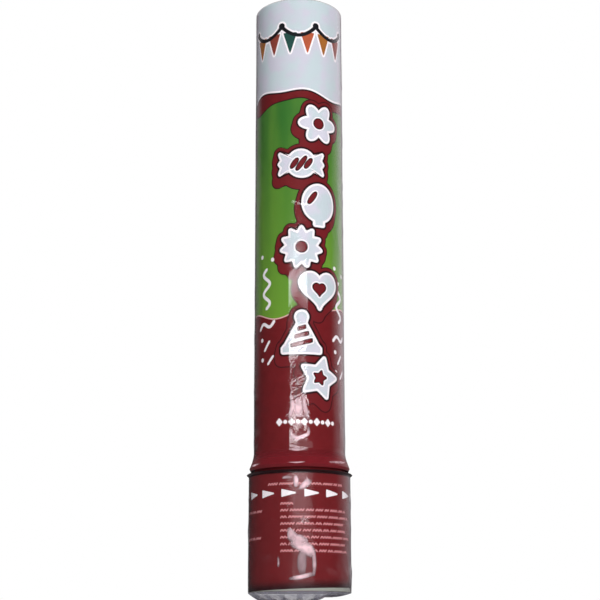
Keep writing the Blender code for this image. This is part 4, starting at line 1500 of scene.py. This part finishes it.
    def film(self) -> None:
        """Make the base's film: over the rim, out to a fin, and down with bulges and creases."""
        rim = self.top + 0.4 * MM
        run = np.linspace(self.top - self.fin / 2, self.foot, 52)
        radius = np.concatenate([[self.sleeve_radius - 1.2 * MM, self.sleeve_radius, self.wrap_radius],
                                 self.film_radius + self.fin * np.array([0.55, 0.8, 0.45]),
                                 np.full(len(run), self.film_radius)])
        level = np.concatenate([[rim, rim, rim], self.top + np.array([0.32, 0.1, -0.3]) * MM, run])
        relief = Creases(seed=29, count=48, low=0.0, high=0.051, radius=self.film_radius)
        slack = Creases(seed=12, count=22, low=0.008, high=0.036, radius=self.film_radius, bulge=0.0,
                        ridge=0.00030, turn=math.pi / 2, wide=2.2)
        angle = turns(self.facets)
        free = np.clip((level - self.foot) / (3.0 * MM), 0.0, 1.0)
        free = free * np.clip((rim - level) / (2.0 * MM), 0.0, 1.0)
        push = (relief.height(angle, level) + slack.height(angle, level)) * free
        self.shop.put(film_sheet(radius + push, level, angle, self.film_thick), "base_shrink_film",
                      Finish.BASE_FILM, "base", "clear_film", "base_film")

    def highlight_welts(self) -> None:
        """Make the welts where the base's film has shrunk double, on its front, with their painted
        highlights.
        """
        stencil = Stencil(self.film_radius, self.film_thick)
        for highlight_welt in self.HIGHLIGHT_WELTS:
            stencil.add_highlight_welt(highlight_welt)
        self.shop.put(stencil.surface, "base_film_highlight_welts", Finish.HIGHLIGHT_WELT_FILM, "base", "clear_film")

    def gather(self) -> None:
        """Make the gathered end: film bent in under the base, with pleats that grow to its inner edge.

        For b from 0 to 90 degrees, the bend's radius is inner edge + width cos(b)^slope and its level is
        top - top sin(b)^slope. A pleat lifts it by height pucker sin(b)^2, where pucker is cos(pleats angle)
        + 0.25 cos(3 pleats angle + 0.6), each only where it is above nothing. A flat lip runs on inwards, and
        the tuck lifts the part about its own angle.
        """
        top = self.foot - 0.3 * MM
        bend_r = self.film_radius - self.gather_width
        angle = turns(24 * self.pleats)
        bend = np.linspace(0.0, math.pi / 2, 10)
        lip = np.linspace(0.0, 1.0, 6)[1:]
        main = np.clip(np.cos(self.pleats * angle), 0.0, None)
        pucker = main + 0.25 * np.clip(np.cos(3 * self.pleats * angle + 0.6), 0.0, None)
        rise = self.pleat_height * pucker * np.sin(bend) ** 2
        radius = np.broadcast_to(bend_r + self.gather_width * np.cos(bend) ** self.gather_slope, rise.shape)
        edge = bend_r - self.gather_lip * (1.0 - 0.2 * pucker) * lip
        radius = np.concatenate([radius, edge], axis=1)
        level = np.concatenate([top - top * np.sin(bend) ** self.gather_slope + rise,
                                np.broadcast_to(self.pleat_height * pucker, edge.shape)], axis=1)

        away = np.abs((angle - self.tuck_angle + math.pi) % FULL_TURN - math.pi)
        tucked = self.tuck * np.clip((self.tuck_reach - away) / self.tuck_soft, 0.0, 1.0) ** 2
        level = level + np.minimum(tucked, top) * (1.0 - level / top)

        shrink = self.gather_thick * np.concatenate([np.cos(bend), np.zeros(len(lip))])
        inner_level = np.minimum(level + self.gather_thick, top + 0.1 * MM)
        points = round_axis(np.concatenate([radius, (radius - shrink)[:, ::-1]], axis=1), angle,
                            np.concatenate([level, inner_level[:, ::-1]], axis=1))
        # The milk is thinned in the pleat valleys, so that the creases show darker: painted crease shade.
        thin = self.pleat_valley_shade * (1.0 - np.clip(pucker, 0.0, 1.0))
        cover = 1.0 - thin * np.concatenate([np.sin(bend), np.ones(len(lip))])
        surface = Surface()
        surface.add(points, grid_quads(*points.shape[:2], True, True),
                    np.concatenate([cover, cover[:, ::-1]], axis=1))
        self.shop.put(surface, "gathered_film_end", Finish.GATHERED_FILM, "base", "clear_film",
                      "base_film_gather")


@dataclass
class Charge:
    """The wad, the foam pad and the tiers of tissue slips."""

    shop: Shop
    radius: float = 0.0193
    pad_foot: float = 0.12755
    pad_thick: float = 0.0060
    pad_edge: float = 0.0009
    pad_lip: float = 0.0008
    pad_crown: float = 0.0007
    pad_dimple: float = 0.00012
    slip_width: float = 0.0157
    slip_spread: float = 0.00010
    slip_paper: float = 0.00011
    slip_pitch: float = 0.00030
    slip_wave: float = 0.000055
    slip_foot: float = 0.00012
    slip_head: float = 0.00015
    tiers: int = 3
    bundles: int = 4
    tissue: tuple[Finish, ...] = (Finish.TISSUE_GOLD, Finish.TISSUE_GREEN, Finish.TISSUE_RED,
                                  Finish.TISSUE_WHITE)

    def build(self) -> None:
        """Make the charge's pieces."""
        self.shop.smooth_copy("pusher_wad", "charge", Finish.WHITE_MOULDING)
        self.pad()
        for tier in range(self.tiers):
            for place in range(self.bundles):
                self.bundle(tier, place)

    def pad(self) -> None:
        """Make the foam pad: a crowned disc, whose edge bulges between its two faces.

        At a share of its radius and an angle, each face stands half the thickness from the middle, less
        crown share^4, plus dimple (sin(5 angle) sin(2 pi share) - 1). The edge is half an ellipse.
        """
        share = np.linspace(0.0, 1.0, 16)
        bow = np.linspace(math.pi / 2, -math.pi / 2, 12)[1:-1]
        half = self.pad_thick / 2
        middle = self.pad_foot + half
        angle = turns(96)
        dimple = self.pad_dimple * (np.sin(5 * angle) * np.sin(share * FULL_TURN) - 1.0)
        face = half - self.pad_crown * share ** 4 + dimple
        inner = self.radius - self.pad_edge
        face_radius = np.broadcast_to(inner * share, face.shape)
        edge_radius = np.broadcast_to(inner + self.pad_edge * np.cos(bow), (len(angle), len(bow)))
        edge = np.broadcast_to(middle + (half - self.pad_lip) * np.sin(bow), edge_radius.shape)
        surface = Surface()
        surface.add_turned(np.concatenate([face_radius, edge_radius, face_radius[:, ::-1]], axis=1),
                           np.concatenate([middle + face, edge, (middle - face)[:, ::-1]], axis=1),
                           closed=False)
        piece = self.shop.put(surface, "foam_disc", Finish.WHITE_FOAM, "charge", "white_foam", "foam_pad")

    def bundle(self, tier: int, place: int) -> None:
        """Make a bundle: sheets of tissue on edge, side by side, each a little out of line and softly waved.

        Args:
            tier: the tier's number, from the pad upwards.
            place: the bundle's number in the tier.
        """
        node = f"confetti_tier_{tier + 1}_bundle_{place + 1}"
        low, high = (np.array(corner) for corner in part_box(node))
        choice = self.tissue[(tier + place) % len(self.tissue)]
        count = int((high[1] - low[1]) / self.slip_pitch)
        pitch = (high[1] - low[1]) / count
        draws = np.random.default_rng(100 + 10 * tier + place)
        across = np.linspace(-0.5, 0.5, 4)
        along = np.linspace(0.0, 1.0, 7)[:, None]
        section = np.concatenate([across, across[::-1]])
        face = np.repeat([-0.5, 0.5], len(across))
        middle = (low[0] + high[0]) / 2
        surface = Surface()
        for number in range(count):
            shift, wave, lift, width = draws.uniform(-1.0, 1.0, 4)
            span = self.slip_width + self.slip_spread * width
            x = middle + self.slip_spread * shift + span * section
            bow = self.slip_wave * np.sin(along * math.pi * (2.0 + wave) + 3.0 * section + 5.0 * shift)
            y = low[1] + (number + 0.5) * pitch + bow + self.slip_paper * face
            foot, head = low[2] + self.slip_foot * (1.0 + lift), high[2] - self.slip_head * (1.0 + shift)
            z = foot + (head - foot) * along
            surface.add_swept(np.stack(np.broadcast_arrays(x, y, z), axis=-1))
        self.shop.put(surface, node + "_slips", choice, "charge", choice.value.name, node)


@dataclass
class Muzzle:
    """The card cap that is pressed into the muzzle."""

    shop: Shop
    outer: float = 0.0194
    card: float = 0.0011
    foot: float = 0.29558
    depth: float = 0.0080
    corner: float = 0.0006
    lip_rise: float = 0.0003
    ring_depth: float = 0.00025
    ring_at: float = 0.62
    ring_width: float = 0.09

    def build(self) -> None:
        """Make the cap: a cup of pressed card, turned, with a shallow ring pressed in its floor.

        At a share of the floor's radius the ring is depth exp(-((share - at) / width)^2) deep. The cup's
        corners are quarter circles, and its lip is half an ellipse.
        """
        inner = self.outer - self.card
        top, floor = self.foot + self.depth, self.foot + self.card
        share = np.linspace(0.0, 1.0, 22)
        press = self.ring_depth * np.exp(-((share - self.ring_at) / self.ring_width) ** 2)
        bend = np.linspace(0.0, math.pi / 2, 6)
        lip = np.linspace(0.0, math.pi, 7)
        rise = self.corner * (1.0 - np.cos(bend))
        out = self.corner * (1.0 - np.sin(bend))
        radius = np.concatenate([(inner - self.corner) * share, inner - out,
                                 inner + self.card / 2 * (1.0 - np.cos(lip)), self.outer - rise,
                                 (self.outer - self.corner) * share[::-1]])
        level = np.concatenate([floor + self.ring_depth - press, floor + rise,
                                top - self.lip_rise + self.lip_rise * np.sin(lip), self.foot + out,
                                np.full_like(share, self.foot)])
        surface = Surface()
        surface.add_turned(radius, level, closed=False, count=144)
        self.shop.put(surface, "muzzle_card_cap", Finish.WHITE_CARD, "muzzle", "white_card", "muzzle_cap")


@dataclass(frozen=True)
class GlossCard:
    """A small bright card that only the film's gloss shows.

    Its direction from the popper and its size are angles in degrees; radiance is its brightness.
    """

    name: str
    azimuth: float
    elevation: float
    width: float
    height: float
    radiance: float
    distance: float = 1.0

    def hang(self, studio: "Studio") -> None:
        """Hang the card. Its power is radiance times pi times its area.

        Args:
            studio: the studio that it hangs in.
        """
        turn, rise = math.radians(self.azimuth), math.radians(self.elevation)
        reach = self.distance * math.cos(rise)
        place = (reach * math.sin(turn), -reach * math.cos(turn),
                 self.distance * math.sin(rise) + studio.card_level)
        size = tuple(2.0 * self.distance * math.tan(math.radians(side) / 2.0)
                     for side in (self.width, self.height))
        card = studio.area(self.name, place, (0.0, 0.0, studio.card_level), size,
                           self.radiance * math.pi * size[0] * size[1])
        card.visible_diffuse = False


@dataclass
class Studio:
    """The camera, the floor and the light."""

    camera_place: tuple[float, float, float] = (0.0001, -0.687, -0.0214)
    tilt: float = 13.95
    roll: float = 0.1
    lens: float = 84.0
    floor_half: float = 1.4
    card_level: float = 0.16
    cards: tuple[GlossCard, ...] = (
        GlossCard("streak_card", -3.0, 15.0, 46.0, 2.2, 6.0),
        GlossCard("patch_card", -4.0, 9.6, 44.0, 1.5, 8.0),
        GlossCard("low_card", -2.0, 4.0, 44.0, 1.9, 9.0),
        GlossCard("column_card", 7.5, -1.4, 45.0, 9.7, 0.6),
    )

    def build(self) -> None:
        """Set up the camera, the floor and the light."""
        bpy.context.scene.view_settings.view_transform = "Standard"
        self.camera()
        self.floor()
        self.lights()
        self.world()

    def camera(self) -> None:
        """Stand the camera low in front, looking up the tube."""
        data = bpy.data.cameras.new("camera")
        data.lens = self.lens
        data.sensor_width = 36.0
        camera = bpy.data.objects.new("camera", data)
        camera.location = self.camera_place
        camera.rotation_euler = (math.radians(90.0 + self.tilt), math.radians(self.roll), 0.0)
        bpy.context.scene.collection.objects.link(camera)
        bpy.context.scene.camera = camera

    def floor(self) -> None:
        """Lay a pale floor, which is clear from below and lets light from below through."""
        recipe = Recipe("pale_floor")
        below = recipe.node("ShaderNodeNewGeometry").outputs["Backfacing"]
        shadow = recipe.node("ShaderNodeLightPath").outputs["Is Shadow Ray"]
        clear = recipe.node("ShaderNodeBsdfTransparent").outputs[0]
        cloud = recipe.noise(2.0, 3.0)
        pale = recipe.mix(cloud, linear((236, 236, 236)), linear((242, 242, 242)))
        glossy = recipe.node("ShaderNodeLightPath").outputs["Is Glossy Ray"]
        pale = recipe.mix(glossy, pale, linear((150, 150, 150)))
        solid = recipe.surface(Base_Color=pale, Roughness=0.7)
        seen = recipe.either(recipe.math("MAXIMUM", below, shadow), solid, clear)
        half = self.floor_half
        mesh = bpy.data.meshes.new("floor")
        mesh.from_pydata([(-half, -half, 0.0), (half, -half, 0.0), (half, half, 0.0), (-half, half, 0.0)], [],
                         [(0, 1, 2, 3)])
        mesh.materials.append(recipe.done(seen))
        floor = bpy.data.objects.new("floor", mesh)
        bpy.context.scene.collection.objects.link(floor)

    def lights(self) -> None:
        """Hang a wide soft key in front, a low fill under the floor, and the cards for the film's gloss."""
        key = self.area("key", place=(0.42, -1.55, 0.72), aim=(0.0, 0.0, 0.16), size=(1.1, 1.1), power=22.5)
        low_fill = self.area("low_fill", place=(0.0, -0.9, -0.5), aim=(0.0, 0.0, 0.02), size=(0.8, 0.6),
                             power=1.4)
        for soft in (key, low_fill):
            soft.visible_glossy = False
        for card in self.cards:
            card.hang(self)

    @staticmethod
    def area(name: str, place: tuple[float, float, float], aim: tuple[float, float, float],
             size: tuple[float, float], power: float) -> bpy.types.Object:
        """Hang a rectangular light that faces a point.

        Args:
            name: the light's name.
            place: where it hangs.
            aim: the point that it faces.
            size: its width and height.
            power: its power in watts.

        Returns:
            The light's object.
        """
        data = bpy.data.lights.new(name, "AREA")
        data.shape = "RECTANGLE"
        data.size, data.size_y = size
        data.energy = power
        light = bpy.data.objects.new(name, data)
        light.location = place
        away = np.array(place) - np.array(aim)
        turn = math.atan2(away[0], -away[1])
        light.rotation_euler = (math.atan2(math.hypot(away[0], away[1]), away[2]), 0.0, turn)
        light.visible_camera = False
        bpy.context.scene.collection.objects.link(light)
        return light

    def world(self) -> None:
        """Light all round: a white ground to the camera, soft light to matt faces, a dim room to glossy ones.

        The room is dark in front and brightens behind the popper, more towards the right and upwards.
        """
        world = bpy.data.worlds.new("studio")
        world.use_nodes = True
        sky = Nodes(world.node_tree)
        way = sky.node("ShaderNodeTexCoord").outputs["Generated"]
        x, y, z = sky.node("ShaderNodeSeparateXYZ", {0: way}).outputs
        right = sky.math("MULTIPLY", sky.band(x, 0.0, 0.7), sky.band(z, 0.05, 0.20, 0.35, 1.1))
        right = sky.math("MULTIPLY", right, sky.band(y, 0.0, 0.6))
        left = sky.math("MULTIPLY", sky.band(x, -0.3, -0.8), sky.band(z, 0.14, 0.34, 0.0, 0.6))
        left = sky.math("MULTIPLY", left, sky.band(y, 0.4, 0.8))
        glow = sky.math("ADD", sky.math("ADD", right, left), 0.04)
        white, soft, dim = (sky.node("ShaderNodeBackground", {"Color": tint, "Strength": strength}).outputs[0]
                            for tint, strength in (((1.0, 1.0, 1.0, 1.0), 1.0),
                                                   ((0.94, 0.97, 1.0, 1.0), 0.53),
                                                   ((1.0, 0.98, 0.99, 1.0), glow)))
        path = sky.node("ShaderNodeLightPath").outputs
        light = sky.either(path["Is Camera Ray"], sky.either(path["Is Glossy Ray"], soft, dim), white)
        sky.node("ShaderNodeOutputWorld", {"Surface": light})
        bpy.context.scene.world = world


def write_sizes() -> None:
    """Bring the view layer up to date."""
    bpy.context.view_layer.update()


def main() -> None:
    """Build the popper's pieces in order, then the studio."""
    logging.basicConfig(level=logging.INFO, format="%(name)s: %(message)s")
    shop = Shop()
    Barrel(shop).build()
    Base(shop).build()
    shop.smooth_copy("release_cap", "release", Finish.RED_MOULDING)
    shop.smooth_copy("stopper_seal", "release", Finish.BLACK_RUBBER)
    Charge(shop).build()
    Muzzle(shop).build()
    Studio().build()
    write_sizes()


if __name__ == "__main__":
    main()
